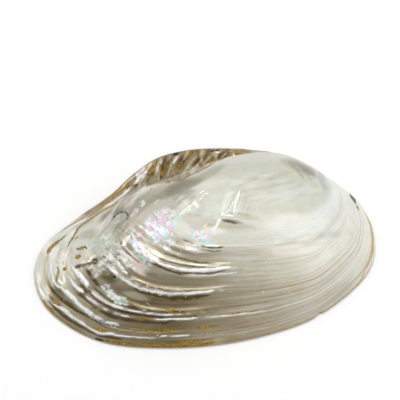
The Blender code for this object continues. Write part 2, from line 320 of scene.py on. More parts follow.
# Painted highlights on the creases of the umbo.
UMBO_HIGHLIGHT_TRACES = (
    (0.64, (239.5, 190), (234.5, 208), (234, 213)), (0.25, (235, 199), (232.5, 204), (229, 209)),
    (0.72, (221, 213.5), (226, 215), (234, 216)), (0.4, (222, 212), (226, 212.5), (230, 209)),
    (1.1, (220.5, 218), (218.5, 223), (215, 228), (211, 230)), (0.4, (204, 194.5), (199, 200.5)),
    (0.32, (200, 193.5), (204, 190.5), (208, 191)), (0.32, (202, 195), (205, 193.5), (208.5, 193.5)),
    (0.6, (190, 205.5), (179, 215.5)))
PALE_TRACES = (
    (0.45, (58, 300), (66, 306), (76, 312.5), (88, 319), (100, 324), (112, 328), (125, 330.5),
     (140, 332.5), (158, 332.7), (188, 330)),
    (0.45, (62, 282), (70, 288), (78, 295), (86, 303), (94, 309.5), (104, 315.5)),
    (0.45, (134, 277), (142, 281.5), (150, 284.5), (160, 287), (172, 288.8), (188, 289.3), (217, 288.3)),
    (0.98, (130, 302), (140, 306), (150, 308.5), (165, 310), (185, 309), (207, 307)),
    (0.38, (130, 329), (145, 330.5)), (0.52, (129, 198), (119, 206.5)), (0.52, (115, 206), (101, 216)),
    (0.52, (200, 226), (207, 226), (214, 224)), (0.45, (57, 272), (56.5, 283)),
    (0.9, (56, 243), (50, 252), (46, 262), (44, 272), (45, 283), (50, 291)),
    (0.6, (63, 247), (57, 256), (56, 266)), (0.75, (72, 247), (68, 258), (66, 268), (68, 277)))
# Dark lines below the crests: stain deepened with painted shade.
TROUGH_STAIN_AND_SHADE_TRACES = (
    (1.4, (151, 262), (160, 266.5), (170, 270.5), (180, 273.5), (203, 273.5), (226, 270.5)),
    (0.7, (138, 282), (150, 287), (165, 290), (180, 291.3), (195, 291.3), (209, 290)),
    (2.0, (133, 288), (145, 292.5), (158, 296), (172, 298), (186, 298), (210, 295)),
    (1.3, (92, 284), (98, 291), (106, 298), (116, 303), (128, 307), (140, 309.5), (160, 311.7),
     (185, 311.7)),
    (1.7, (88, 290), (95, 298.5), (103, 304), (113, 308.5), (125, 312.5), (138, 315), (155, 317),
     (170, 317.3)), (1.8, (100, 309.5), (112, 315.5), (125, 319.5), (140, 322), (160, 322.5), (175, 321.5)),
    (1.5, (72, 284), (78, 292), (86, 300), (96, 308), (108, 315), (118, 320)),
    (1.2, (62, 287), (76, 302), (86, 311), (96, 318), (112, 325)),
    (1.6, (50, 287), (58, 296), (68, 304), (80, 312), (92, 319), (104, 325), (118, 330)),
    (1.4, (48, 301), (56, 309), (66, 317), (78, 325), (90, 331), (102, 336), (122, 340)),
    (0.8, (133, 238), (155, 256), (160, 258.5), (180, 264.5), (192, 266.5), (205, 267.4), (216, 267)),
    (0.9, (165, 253), (188, 260.5), (200, 263.5), (216, 263)), (0.9, (121, 246), (132, 257), (140, 263)),
    (0.8, (135, 251), (150, 261)), (0.8, (183, 239.5), (199, 246)),
    (0.8, (200, 246), (208, 248), (224, 247)), (0.5, (199, 250), (210, 251), (222, 250.5)),
    (1.0, (116, 257), (119, 263), (124, 269), (131, 276)), (1.8, (74, 268), (92, 262)),
    (1.6, (86, 269), (91, 275), (99, 287)), (1.6, (80, 285), (84, 290), (88, 293)),
    (0.9, (150, 329.5), (165, 331), (176, 330)), (0.8, (222, 219.5), (237, 223.5)))

# The wing: furrows, light folds, glints, and the lines that run on down the back edge.
WING_FURROWS = (
    (1.3, (157, 160), (149, 177)), (1.2, (156, 166), (153, 172), (151, 178)), (1.6, (166, 158), (160, 180)),
    (1.3, (169, 161), (167, 168), (166, 177)), (1.4, (176, 153), (172, 162)),
    (1.6, (182.5, 157), (175, 173)), (0.9, (186, 158), (182.5, 166), (179, 172)),
    (1.3, (193, 151), (190, 156), (186, 161)), (1.2, (200, 157), (196, 164), (192, 168)),
    (1.0, (210, 151), (203, 162)), (1.0, (214, 158), (207, 163.5), (199, 168)),
    (1.2, (225, 152), (221, 157), (215, 161)), (0.9, (229, 154), (224, 159), (218, 162)),
    (0.9, (149, 164), (145, 171), (140, 177)))
WING_FOLDS = (
    (1.2, (189, 151), (187, 156), (184, 161)), (1.2, (196, 158), (182, 176)),
    (1.2, (203, 160), (198, 166), (191, 171)), (1.6, (204, 151.5), (202, 155), (198, 159)),
    (1.0, (211, 158), (206, 162.5), (202, 167)), (0.9, (222, 152.5), (216, 154), (212, 157)),
    (0.8, (227, 154), (223, 157.5), (219, 160)), (1.1, (172, 165), (165, 180)),
    (1.2, (161, 159), (158, 167), (156, 176)), (1.0, (145, 172), (137, 183)))
GLINTS = (
    (0.9, (178.5, 156), (173, 163.5)), (0.9, (156.5, 166), (157, 171)), (1.3, (143, 171), (138.5, 178)),
    (0.6, (151, 162.5), (144, 173.5)), (1.0, (139, 179.5), (134, 184)), (0.7, (161.5, 158), (161, 164)),
    (1.0, (137.5, 172), (136, 177)), (1.2, (195.5, 201), (195, 206)), (0.8, (146, 186), (141, 190.5)),
    (0.9, (138, 208), (135.5, 212)), (0.7, (145, 203), (141, 207)), (0.8, (134, 212.5), (130, 216.5)),
    (0.9, (129, 190), (124, 193.5)), (0.8, (159, 199), (154, 204)))
# White lines on edges and chipped facets, partly painted highlights.
WHITE_TRACES = (
    (0.6, (132, 177), (120, 189.3)), (0.9, (131, 187), (125, 193.5), (113, 202.5), (105, 206.7)),
    (0.7, (87, 218), (69, 227.3)), (0.8, (341, 184.5), (333, 178), (328, 175)),
    (0.5, (345, 189), (339, 183)), (1.2, (118.5, 250), (127, 259)),
    (1.0, (116, 261), (119, 265), (121, 269)), (1.2, (109, 252), (111, 257)),
    (1.6, (60, 246), (54, 253), (51, 262), (50.5, 272)), (1.2, (75, 230), (66, 241)),
    (1.4, (65, 250), (61, 260), (61, 272)), (0.8, (110, 254), (112, 258)), (0.7, (113, 262), (117, 258)),
    (0.8, (118, 249), (121, 254)), (0.6, (101, 262), (106, 265)), (0.5, (90, 266), (95, 269)),
    (0.6, (104, 252), (109, 251)), (0.4, (99, 266), (104, 270)), (0.5, (88, 269), (92, 265)),
    (0.4, (216, 153), (220, 152.5)))
OCHRE_TRACES = (
    (0.8, (131, 177.5), (120, 188.3), (100, 204), (91, 212.8), (80, 220), (68, 227), (60, 233)),
    (0.9, (137, 175), (130, 183), (114, 197.5), (106, 203), (98, 210.5), (90, 216), (83, 219.5)),
    (0.9, (119, 200.5), (112, 205.5), (104, 209.5), (82, 224.5), (78, 229), (70, 243), (66, 251),
     (64.5, 255)), (0.6, (79, 235), (75, 240), (73, 245)),
    (1.5, (60, 239.5), (54, 245), (50, 248), (47.5, 254)), (0.7, (67, 234), (57, 243)),
    (0.9, (57.7, 266), (58, 272), (56, 283)), (1.8, (49, 295.5), (60, 305.5)),
    (2.0, (40.5, 300), (46, 305.5), (54, 311.5)), (1.6, (92, 326.5), (100, 329.5), (109, 332)),
    (1.6, (76, 249.5), (80, 249), (84, 247.5)), (1.6, (75, 258), (78, 257), (80.5, 255.5)),
    (1.4, (63, 268), (66, 270.5)), (1.5, (197, 327.5), (204, 327.8), (213, 326)),
    (1.0, (203, 333.5), (218, 332.5)), (0.8, (213, 326), (220, 325.5)), (0.9, (184, 317), (201, 315.5)),
    (1.2, (135, 329.5), (150, 331), (165, 331), (178, 329)), (1.2, (177, 342.3), (216, 339.3)),
    (1.0, (166, 310), (172, 310.3), (178, 309.8)), (0.8, (181, 273.7), (186, 274.5)),
    (0.5, (222, 315.5), (245, 312), (262, 310.5)), (0.8, (114, 286), (115.5, 288)),
    (1.0, (130, 316), (140, 318.5), (160, 320.5)), (0.5, (195, 310), (222, 308.5)),
    (0.7, (83, 266), (83.5, 269)),
    (0.7, (177, 181), (183, 179.5), (190, 175), (199, 172), (206, 168), (219, 159.5)),
    (1.0, (233, 151), (239, 152.5)), (1.4, (234, 154.5), (238, 153)), (0.9, (241, 153.3), (247, 151.5)),
    (0.9, (168, 183), (171, 181)), (1.2, (356.5, 205), (359, 210)), (0.5, (150, 184), (153, 181)),
    (0.6, (152, 187), (149, 194)), (0.5, (140, 197), (135, 201)),
    (0.7, (118, 343), (130, 344.5), (150, 345), (170, 344)))
YELLOW_TRACES = (
    (1.1, (365.5, 213), (370, 223), (372, 232), (373, 241), (372.5, 250), (370.5, 259), (366, 270)),
    (0.7, (371, 258), (362, 278), (346, 298), (326, 314)), (0.9, (306, 174), (314, 182)),
    (0.8, (80, 256), (77, 258.5)), (0.9, (55, 242), (51, 246)), (0.6, (326, 313.5), (300, 324), (262, 334)))
DARK_TRACES = (
    (0.9, (211, 151), (214, 151)), (0.5, (213, 150.3), (220, 150.5)), (1.0, (173, 154), (178, 154.3)),
    (0.7, (138, 184.3), (134, 187.2)), (0.8, (84, 246.3), (86.5, 249)),
    (1.7, (349.5, 193.5), (353, 198.5), (356, 204)), (1.0, (95, 338), (104, 341)),
    (0.9, (52.2, 298.3), (53, 299)), (0.8, (161.5, 175), (160, 180)), (0.7, (122, 241), (120.5, 245.5)),
    (1.4, (102, 255), (105.5, 258)), (1.2, (107, 261.5), (111.5, 263)), (1.1, (114.5, 256), (117, 258.5)),
    (1.0, (112.5, 276.5), (116, 278)), (0.7, (87, 258.5), (89, 259.5)), (0.9, (114, 276), (116, 277.5)),
    (0.6, (107, 268), (109, 270)))
ARC_WIDTH = 0.8
ARC = (
    (109.5, 219.5), (113.5, 217), (117, 214), (120, 212.3), (124, 212), (127, 213.5), (128, 216),
    (127, 219.5), (126.3, 223), (127.3, 225.3))
PIT_RING = (95, 261.5, 3.6, 3.6, 15)
PIT = (95, 261.5, 2.0, 1.5, 15)
MOSS_PATCH = (108.5, 276, 8.5, 4.6, 15)

# Soft areas of tone, partly the nacre's own tone and partly painted shade and painted light: oval, colour and
# strength.
AREAS = (
    ((181, 187, 28, 6.5, -26), (144, 139, 122), 0.85), ((158, 193, 22, 8, -36), (160, 155, 136), 0.8),
    ((138, 206, 24, 9, -40), (168, 165, 147), 0.75), ((116, 224, 22, 9, -38), (172, 170, 158), 0.6),
    ((106, 240, 13, 8, -30), (200, 214, 200), 0.75), ((212, 171, 18, 4.5, -28), (178, 174, 156), 0.6),
    ((186, 192, 12, 3.5, -8), (152, 147, 132), 0.5), ((206, 211, 15, 4, 24), (199, 208, 204), 0.7),
    ((232, 221.5, 13, 2.6, 9), (128, 124, 104), 0.8), ((227, 228.5, 15, 3, 3), (204, 195, 168), 0.7),
    ((243, 214, 8, 1.8, 8), (172, 162, 140), 0.6), ((192, 236, 12, 6, 20), (194, 201, 197), 0.6),
    ((107, 277, 9, 4.5, 10), (88, 86, 54), 0.85), ((112, 281, 7, 3, 0), (92, 92, 62), 0.7),
    ((100, 268, 8, 4, 20), (118, 110, 92), 0.6), ((45, 278, 4, 10, 5), (204, 190, 160), 0.5),
    ((68, 257, 4, 12, 5), (234, 234, 208), 0.7), ((309, 171, 10, 4.5, 35), (168, 166, 173), 0.85),
    ((322, 180, 4, 11, -22), (182, 189, 192), 0.8), ((118, 212, 11, 4, -25), (134, 132, 122), 0.7),
    ((113, 222, 9, 6, -20), (186, 192, 188), 0.5), ((84, 256, 8, 7, 0), (204, 198, 178), 0.6),
    ((160, 247, 14, 6, 35), (190, 176, 148), 0.7), ((166, 236, 9, 4, 40), (176, 176, 168), 0.7),
    ((147, 236, 5, 5, 0), (196, 192, 176), 0.6), ((128, 253, 8, 2, 45), (128, 130, 122), 0.6),
    ((262, 238, 80, 12, -2), (226, 228, 219), 0.85), ((300, 224, 46, 13, 0), (242, 244, 238), 0.8),
    ((192, 224, 22, 9, 25), (216, 219, 212), 0.7), ((192, 247, 18, 5, 8), (228, 224, 210), 0.7),
    ((141, 265, 12, 5, 40), (226, 216, 210), 0.7), ((64, 262, 7, 14, 5), (244, 243, 230), 0.8),
    ((49, 250, 7, 10, -30), (236, 236, 230), 0.6), ((58, 293, 10, 6, 35), (142, 134, 112), 0.5),
    ((122, 201, 20, 5, -38), (152, 148, 132), 0.6), ((180, 228, 17, 9, 30), (242, 243, 238), 0.8),
    ((202, 246, 26, 6, 3), (240, 236, 222), 0.7), ((150, 251, 16, 7, 38), (240, 230, 218), 0.6),
    ((136, 266, 13, 5, 42), (246, 230, 226), 0.75), ((64, 264, 8, 14, 5), (252, 250, 240), 0.85),
    ((49, 250, 7, 11, -30), (250, 250, 244), 0.7), ((292, 249, 32, 7, -5), (242, 240, 232), 0.6),
    ((55, 289, 12, 9, 40), (118, 110, 86), 0.45), ((200, 162, 20, 7, -22), (118, 104, 80), 0.35),
    ((288, 164, 12, 4, 30), (182, 178, 156), 0.6), ((155, 230, 27, 14, 40), (214, 210, 198), 0.75),
    ((208, 233, 9, 4, -10), (246, 250, 250), 0.8), ((200, 236, 12, 6, 10), (240, 238, 238), 0.8),
    ((240, 216, 24, 4, 8), (186, 183, 164), 0.6), ((250, 204, 32, 10, 4), (196, 199, 186), 0.55),
    ((306, 169, 14, 3.5, 36), (158, 151, 144), 0.6), ((300, 174, 9, 1.5, 42), (178, 158, 112), 0.6),
    ((54, 286, 12, 8, 50), (122, 114, 90), 0.6), ((178, 185, 16, 5, -26), (138, 131, 110), 0.7),
    ((188, 163, 12, 8, -25), (124, 108, 80), 0.5), ((112, 216, 12, 6, -35), (146, 146, 134), 0.55),
    ((130, 192, 12, 3.5, -40), (150, 144, 128), 0.6), ((340, 292, 16, 8, -45), (196, 190, 176), 0.6),
    ((366, 262, 4, 16, 12), (206, 200, 184), 0.2), ((136, 268, 14, 4, 40), (232, 226, 222), 0.6),
    ((118, 206, 26, 5, -38), (140, 136, 118), 0.7), ((140, 200, 16, 4, -38), (150, 146, 128), 0.6),
    ((256, 244, 30, 4, -3), (228, 226, 214), 0.5), ((186, 231, 10, 4, 20), (236, 240, 240), 0.7),
    ((213, 231, 15, 5, 0), (248, 248, 242), 0.75), ((112, 217, 8, 5, -30), (148, 148, 138), 0.5),
    ((97, 234, 9, 6, 0), (186, 188, 178), 0.5), ((97, 263, 10, 5, 10), (128, 122, 106), 0.3),
    ((150, 166, 14, 10, -40), (132, 112, 76), 0.4), ((208, 262, 28, 5, -3), (184, 177, 156), 0.5),
    ((312, 300, 28, 8, -25), (184, 176, 160), 0.5), ((206, 176, 20, 5, -27), (172, 170, 152), 0.55),
    ((132, 256, 12, 4, 45), (244, 232, 234), 0.6), ((58, 258, 8, 10, 0), (246, 246, 238), 0.5),
    ((86, 218, 20, 8, -38), (158, 152, 136), 0.6), ((90, 234, 14, 6, -15), (176, 172, 158), 0.6),
    ((144, 169, 9, 8, -40), (112, 92, 60), 0.5), ((192, 184, 15, 4, -25), (144, 139, 120), 0.6),
    ((298, 167, 16, 5, 35), (150, 143, 128), 0.6), ((56, 296, 14, 8, 50), (108, 96, 68), 0.6),
    ((136, 296, 16, 4, 15), (206, 200, 186), 0.6), ((224, 264, 16, 5, 0), (176, 168, 146), 0.5),
    ((214, 342, 16, 4, -8), (214, 196, 158), 0.6), ((190, 297, 30, 7, 0), (142, 126, 76), 0.4),
    ((200, 282, 26, 6, -3), (150, 136, 96), 0.4), ((192, 262, 22, 5, 8), (168, 156, 118), 0.5),
    ((182, 210, 12, 7, -45), (238, 242, 240), 0.6))

# Fine strokes: oval, angle and strength.
STROKES = (
    ((118, 220, 34, 17, -42), -52, 0.9), ((270, 188, 62, 20, -4), -12, 0.35),
    ((186, 200, 30, 10, 35), -42, 0.6), ((236, 206, 20, 14, 0), -66, 0.4),
    ((100, 258, 24, 12, 10), -35, 0.8), ((345, 225, 20, 34, 10), 62, 0.15),
    ((60, 262, 18, 22, 0), -80, 0.5), ((300, 238, 50, 12, 0), -8, 0.4))
STROKE_LENGTH, STROKE_WIDTH = 15.0, 2.6

# Single flakes of painted iridescent sheen and glints on the pearl: oval and colour.
SHEEN_FLAKES = (
    ((166, 208, 4, 2.6, 30), PINK), ((156, 215, 2.5, 2, 0), ROSE), ((172, 225, 4.5, 5, 20), PINK),
    ((134, 228, 2.5, 2.5, 0), ROSE), ((139, 234, 4, 2.6, -40), PINK), ((134, 239, 3, 2, 40), PINK),
    ((146, 255, 8, 2.2, 40), LAVENDER), ((138, 266, 5, 1.4, 42), ROSE), ((196, 234, 4, 3, 0), PINK),
    ((207, 236, 6, 4, -30), LAVENDER), ((167.5, 247, 1.6, 4, 10), LAVENDER),
    ((158, 234, 6, 2.4, 45), LAVENDER), ((154, 224, 4.5, 3.6, 30), CYAN), ((162, 228.5, 6, 1.6, 45), CYAN),
    ((152, 235, 2.5, 1.8, 0), MINT), ((161, 240, 5, 1.6, 45), CYAN), ((133, 233, 1.8, 4, -10), CYAN),
    ((196, 204, 4.5, 3, 20), CYAN), ((179, 219, 4.5, 3, 30), CYAN), ((207, 243, 9, 2.6, 0), CYAN),
    ((151, 265, 3, 1.6, 30), CYAN), ((147, 222.5, 3, 1.6, 0), MINT), ((138, 256, 4, 2.2, 40), MINT),
    ((144, 261, 4, 1.8, 40), MINT), ((132, 252, 3, 2, -20), MINT), ((189, 246, 4, 3.4, 20), LIME),
    ((197, 247, 3.6, 2.6, 0), MINT), ((173, 242, 3, 2.4, -30), LIME), ((127, 265, 2, 3, 30), MINT),
    ((177, 229, 4, 3, -40), MINT), ((125.5, 240, 2.2, 6, 15), CREAM), ((159, 256, 7, 1.6, 32), CREAM),
    ((206, 226, 4, 2, 40), CREAM), ((188, 209, 8, 2.6, -38), CREAM), ((174, 214, 4, 3, 30), CREAM),
    ((113, 295, 8, 3.4, 40), CYAN), ((123, 299.5, 5, 1.6, 20), MINT), ((107, 286, 3, 2, 50), LAVENDER),
    ((125, 260, 6, 2, 45), ROSE), ((150, 219, 3, 3, 0), LAVENDER), ((163, 216, 4, 3, -40), WHITE),
    ((76, 273, 2, 4, -30), MINT), ((92, 300, 6, 1.4, 42), LAVENDER), ((120, 277, 5, 1.4, 42), CYAN),
    ((86, 326, 5, 1.2, 30), ROSE), ((140, 174, 1.6, 5, 35), CYAN), ((146, 168, 1.4, 4, 35), PINK),
    ((175, 159, 1.2, 3.6, 35), CYAN), ((156.5, 168, 1.1, 3.4, 10), CYAN),
    ((136.5, 179, 1.8, 4, 42), (188, 244, 250)), ((151, 165, 1.2, 3, 30), PINK),
    ((143, 172, 1.2, 4, 35), (250, 236, 255)), ((134.5, 210, 1.4, 3.4, 45), PINK),
    ((143, 203.5, 1.3, 3.6, 45), CYAN), ((145, 250, 14, 3, 42), LAVENDER), ((138, 244, 6, 2.4, 45), PINK),
    ((150, 251, 12, 1.4, 40), CREAM), ((171, 211, 6, 1.4, 35), WHITE), ((155, 258, 6, 2, 25), WHITE),
    ((134, 262, 5, 1.8, 40), BRIGHT_ROSE), ((143, 259.5, 5, 1.8, 42), BRIGHT_MINT),
    ((138, 235, 3, 2.4, -40), BRIGHT_PINK), ((155, 224, 4, 2.8, 40), (180, 246, 238)),
    ((162, 229, 5, 1.2, 45), BRIGHT_CYAN), ((198, 237, 5, 3, -20), WHITE),
    ((195, 234, 4, 2, -30), (252, 216, 250)), ((197, 204, 4, 2.6, 30), WHITE),
    ((189, 246, 4, 2.6, 10), (224, 250, 190)), ((170, 294, 5, 1.4, 5), MINT), ((99, 318, 5, 1.6, 35), MINT),
    ((196, 252, 6, 1.6, 0), ROSE))

# Pearl shimmer, a painted iridescent sheen: oval and strength.
SHIMMER = (
    ((165, 218, 17, 10, 40), 0.8), ((158, 232, 24, 13, 40), 0.85), ((142, 250, 24, 8, 42), 0.85),
    ((128, 262, 16, 5, 45), 0.7), ((200, 236, 13, 8, 10), 0.8), ((193, 247, 12, 5, 5), 0.8),
    ((113, 296, 20, 5, 38), 0.75), ((192, 208, 12, 5, -35), 0.5), ((64, 262, 9, 16, 5), 0.45),
    ((142, 174, 7, 12, 30), 0.55), ((84, 282, 14, 3, 42), 0.5), ((52, 250, 7, 14, 20), 0.4),
    ((106, 241, 10, 7, -30), 0.4), ((152, 292, 24, 3, 12), 0.45), ((100, 320, 26, 3, 25), 0.4))

# The line where the wing's pleats meet the dome.
WING_EDGE = (
    (95, 215), (105, 207), (120, 198), (135, 190.5), (150, 185), (165, 183), (177, 181.5), (190, 175.5),
    (206, 168.5), (219, 160.5), (232, 155.5), (250, 151.5))


# Shared sums.

def smoothstep(value, low, high):
    t = np.clip((value - low) / (high - low), 0.0, 1.0)
    return t * t * (3 - 2 * t)


def bump(value, middle, half_width):
    return np.exp(-((value - middle) / half_width) ** 2)


def window(value, start, full, fade, end):
    """0 before start, 1 from full to fade, 0 after end."""
    return smoothstep(value, start, full) * (1 - smoothstep(value, fade, end))


LATTICE = np.random.default_rng(SEED).random((CELLS, CELLS, CELLS))


def noise(points, *size):
    """Smooth random values from 0 to 1 at the points, in blobs of the given size along each axis."""
    scaled = points / np.array(size)
    cell = np.floor(scaled).astype(int)
    t = scaled - cell
    t = t * t * (3 - 2 * t)
    total = 0
    for corner in itertools.product((0, 1), repeat=3):
        share = np.prod(np.where(np.array(corner) == 1, t, 1 - t), axis=-1)
        x, y, z = np.moveaxis((cell + corner) % CELLS, -1, 0)
        total = total + share * LATTICE[x, y, z]
    return total


def linear(red, green, blue):
    """A colour given as 0 to 255 on screen, as light."""
    screen = np.array((red, green, blue)) / 255
    return np.where(screen <= 0.04045, screen / 12.92, ((screen + 0.055) / 1.055) ** 2.4)


def oval_away(points, x, y, long, short, degrees):
    """How far points lie from the middle of an oval, as a share of the way to its edge."""
    angle = math.radians(degrees)
    dx, dy = points[..., 0] - x, points[..., 1] - y
    along = (dx * math.cos(angle) + dy * math.sin(angle)) / long
    across = (dy * math.cos(angle) - dx * math.sin(angle)) / short
    return np.hypot(along, across)


# Growth lines.

def closed_curve(points):
    """A smooth closed curve through the points, and the share of its length at each place."""
    p = np.array(points, float)
    t = np.linspace(0, 1, CURVE_STEPS, endpoint=False)[:, None]
    pieces = []
    for i in range(len(p)):
        a, b, c, d = (p[(i + k) % len(p)] for k in (-1, 0, 1, 2))
        pieces.append(b + 0.5 * t * (c - a + t * (2 * a - 5 * b + 4 * c - d + t * (3 * b - a - 3 * c + d))))
    curve = np.vstack(pieces + [p[:1]])
    length = np.r_[0, np.cumsum(np.linalg.norm(np.diff(curve, axis=0), axis=1))]
    return curve, length / length[-1]


CURVE, CURVE_SHARE = closed_curve(MARGIN)


def beak_place():
    """Where the beak lies in the part: the middle of the solid's box is the middle of the margin's."""
    low, high = CURVE.min(axis=0), CURVE.max(axis=0)
    box_low, box_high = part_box("shell")
    middle = (Vector(box_low) + Vector(box_high)) / 2 / MM
    return np.array([middle.x - (low[0] + high[0]) / 2, middle.y - (low[1] + high[1]) / 2, 0])


BEAK = beak_place()


def camera_axes():
    """The camera's directions to the right, up and backwards."""
    e, a = CAMERA_ELEVATION, CAMERA_AZIMUTH
    back = np.array((math.sin(a) * math.cos(e), -math.cos(a) * math.cos(e), math.sin(e)))
    right = np.array((math.cos(a), math.sin(a), 0.0))
    return right, np.cross(back, right), back


def picture_place(place):
    """Where points of the shell fall in the photograph, in pixels of its 400 by 400 frame."""
    right, up, back = camera_axes()
    away = (place + BEAK) * MM - (np.array(CAMERA_TARGET) + back * CAMERA_DISTANCE)
    scale = PICTURE * CAMERA_LENS / SENSOR / -(away @ back)
    return np.stack([PICTURE / 2 + scale * (away @ right), PICTURE / 2 - scale * (away @ up)], -1)


def margin_at(turns):
    return np.stack([np.interp(turns, CURVE_SHARE, CURVE[:, k]) for k in (0, 1)], -1)


def inset(turns, distance):
    """The margin moved inwards by a distance, which may change along it."""
    along = margin_at((turns + MARGIN_STEP) % 1) - margin_at((turns - MARGIN_STEP) % 1)
    along /= np.linalg.norm(along, axis=1)[:, None]
    inwards = np.stack([along[:, 1], -along[:, 0]], -1)
    return margin_at(turns) + inwards * np.reshape(distance, (-1, 1))


def grown(outline, growth, turn_total):
    """Growth lines: the outline shrunk by the growth numbers and turned up about the hinge."""
    turn = turn_total * (1 - growth ** GROWTH_POWER)
    y = outline[:, 1]
    depth = 0.5 * (np.sqrt(y * y + HINGE_SOFTNESS ** 2) - y)
    x, rise = outline[:, 0] + 0 * growth, y + depth
    return growth[..., None] * np.stack([x, rise - depth * np.cos(turn), depth * np.sin(turn)], -1)


def spaced(count, density, closed):
    """Values from 0 to 1, closer together where the density is higher."""
    fine = np.linspace(0, 1, 4000)
    total = np.r_[0, np.cumsum(density(fine)[1:])]
    return np.interp(np.linspace(0, 1, count, endpoint=not closed), total / total[-1], fine)


def spoke_density(turns):
    return SPOKE_DENSITY + sum(height * bump(turns, peak, reach) for height, peak, reach in FINE_TURNS)


def ring_density(number):
    """High over the ridges and low towards the beak."""
    return 1 - 0.5 * smoothstep(number, 0.36, 0.50) - 0.3 * smoothstep(number, 0.80, 0.95)


class Zone:
    """Rings of points of one part of the skin, with the number and turn of each, and its paint."""

    def __init__(self, place, number, turns, base):
        self.place = place
        self.number = number + 0 * turns
        self.turns = turns + 0 * number
        angle = 2 * math.pi * self.turns
        x, y = GRAIN_RADIUS * np.cos(angle), GRAIN_RADIUS * np.sin(angle)
        self.grain = np.stack([x, y, GRAIN_HEIGHT * self.number], -1)
        self.tone = np.broadcast_to(linear(*base), place.shape).copy()
        self.marks = {name: np.zeros(place.shape[:2]) for name in MARKS}

    def cover(self, colour, share):
        self.tone += (linear(*colour) - self.tone) * np.clip(share, 0, 1)[..., None]

    def mark(self, name, share):
        self.marks[name] = np.maximum(self.marks[name], share)

    def disc(self, x, y, radius):
        """1 at a place seen from above, and 0 beyond the radius."""
        away = np.hypot(self.place[..., 0] - x, self.place[..., 1] - y)
        return 1 - smoothstep(away, 0.5 * radius, radius)

    def sunk(self, pits):
        """Depth of round pits, each a place, a radius and a depth."""
        return sum(depth * self.disc(x, y, radius) for x, y, radius, depth in pits)

    def oval(self, *oval):
        """1 inside an oval patch seen from above, fading to 0 at its edge."""
        return 1 - smoothstep(oval_away(self.place, *oval), 0.55, 1.1)

    def look(self):
        """Finds where each point falls in the photograph, and how far it faces the camera."""
        self.pixel = picture_place(self.place)
        facing = np.sum(ring_normals(self.place) * camera_axes()[2], axis=-1)
        self.seen = smoothstep(facing, -0.02, 0.06)
        self.slim = 0.5 + 0.5 * smoothstep(facing, 0.05, 0.45)
        drift = np.stack([noise(self.grain + step, 5, 5, 40) - 0.5 for step in APART], -1)
        tear = np.stack([noise(self.place + step, 1.7, 1.7, 1.7) - 0.5 for step in APART], -1)
        self.wavering = self.pixel + LINE_WAVER * drift
        self.torn = self.pixel + FLAKE_WAVER * tear
        self.swell = 0.45 + 1.1 * noise(self.grain + 91.0, 3.2, 3.2, 50)

    def trace(self, half_width, *points, soft=0.5):
        """1 along a line through pixels of the photograph, thinner towards both ends."""
        nearest = np.full(self.number.shape, np.inf)
        share = np.zeros(self.number.shape)
        line = np.array(points, float)
        lengths = np.r_[0, np.cumsum(np.linalg.norm(np.diff(line, axis=0), axis=1))]
        for start, end, before, after in zip(line[:-1], line[1:], lengths[:-1], lengths[1:]):
            along = np.clip((self.wavering - start) @ (end - start) / (after - before) ** 2, 0, 1)
            away = np.linalg.norm(self.wavering - start - along[..., None] * (end - start), axis=-1)
            share = np.where(away < nearest, (before + along * (after - before)) / lengths[-1], share)
            nearest = np.minimum(nearest, away)
        width = half_width * self.swell * np.sqrt(np.clip(7 * share * (1 - share), 0.02, 1))
        return self.seen * (1 - smoothstep(nearest, width - soft, width + soft))

    def blot(self, *oval, firm=0.3, torn=False):
        """1 inside an oval of the photograph, fading to 0 at its edge; its angle is clockwise as seen."""
        away = oval_away(self.torn if torn else self.pixel, *oval)
        return self.seen * (1 - smoothstep(away, firm, 1.15))

    def band(self, number, half_width, first, last, fade=LINE_FADE):
        """1 along one growth line between two turns."""
        along = window(self.turns, first - fade, first + fade, last - fade, last + fade)
        wander = 0.006 * (noise(self.grain, 14, 14, 60) - 0.5)
        return bump(self.number + wander, number, half_width) * along


# Outside shape.

def ring_normals(rings):
    """Upward unit normals of a stack of rings."""
    along = np.roll(rings, -1, axis=1) - np.roll(rings, 1, axis=1)
    across = np.gradient(rings, axis=0)
    normals = np.cross(along, across)
    normals /= np.linalg.norm(normals, axis=2)[:, :, None] + 1e-9
    return normals * np.sign(normals[:, :, 2:] + 1e-9)


def line_numbers(names, turns):
    """How far in the named growth lines run at each turn, one ring per name."""
    shifts = np.linspace(-LINE_SOFTNESS, LINE_SOFTNESS, LINE_SAMPLES)
    stations = (EVEN_TURNS[0], *LINE_TURNS, EVEN_TURNS[1])
    row_names = [0.0]
    rows = [np.zeros(len(turns))]
    for line in LINES:
        name = np.interp(NAMING_TURN, LINE_TURNS, line)
        values = (name, *line, name)
        row_names.append(name)
        rows.append(np.mean([np.interp(turns + shift, stations, values) for shift in shifts], axis=0))
    row_names += [EVEN_NUMBER, 1.0]
    rows += [np.full(len(turns), EVEN_NUMBER), np.ones(len(turns))]
    return np.stack([np.interp(names, row_names, column) for column in np.array(rows).T], axis=-1)


def ridge_heights(zone):
    """Height of the ridges and troughs, each ridge steeper towards the margin and a little beaded."""
    wander = 0.004 * (noise(zone.grain, 16, 16, 70) - 0.5) + 0.0015 * (noise(zone.grain, 4, 4, 30) - 0.5)
    relief = np.zeros(zone.number.shape)
    for place, drift, height, outer, inner, first, last in RIDGES:
        number = zone.number + wander - drift * smoothstep(zone.turns, *DRIFT_TURNS)
        beads = 0.75 + 0.5 * noise(zone.grain + place * 999, 5, 5, 60)
        along = window(zone.turns, first - RIDGE_FADE, first, last, last + RIDGE_FADE)
        relief += height * beads * along * bump(number, place, np.where(number < place, outer, inner))
    along = window(zone.turns, *TROUGH_TURNS)
    for place, height in TROUGHS:
        relief += height * along * bump(zone.number + wander, place, TROUGH_HALF_WIDTH)
    return relief * smoothstep(zone.number, 0, 0.015)


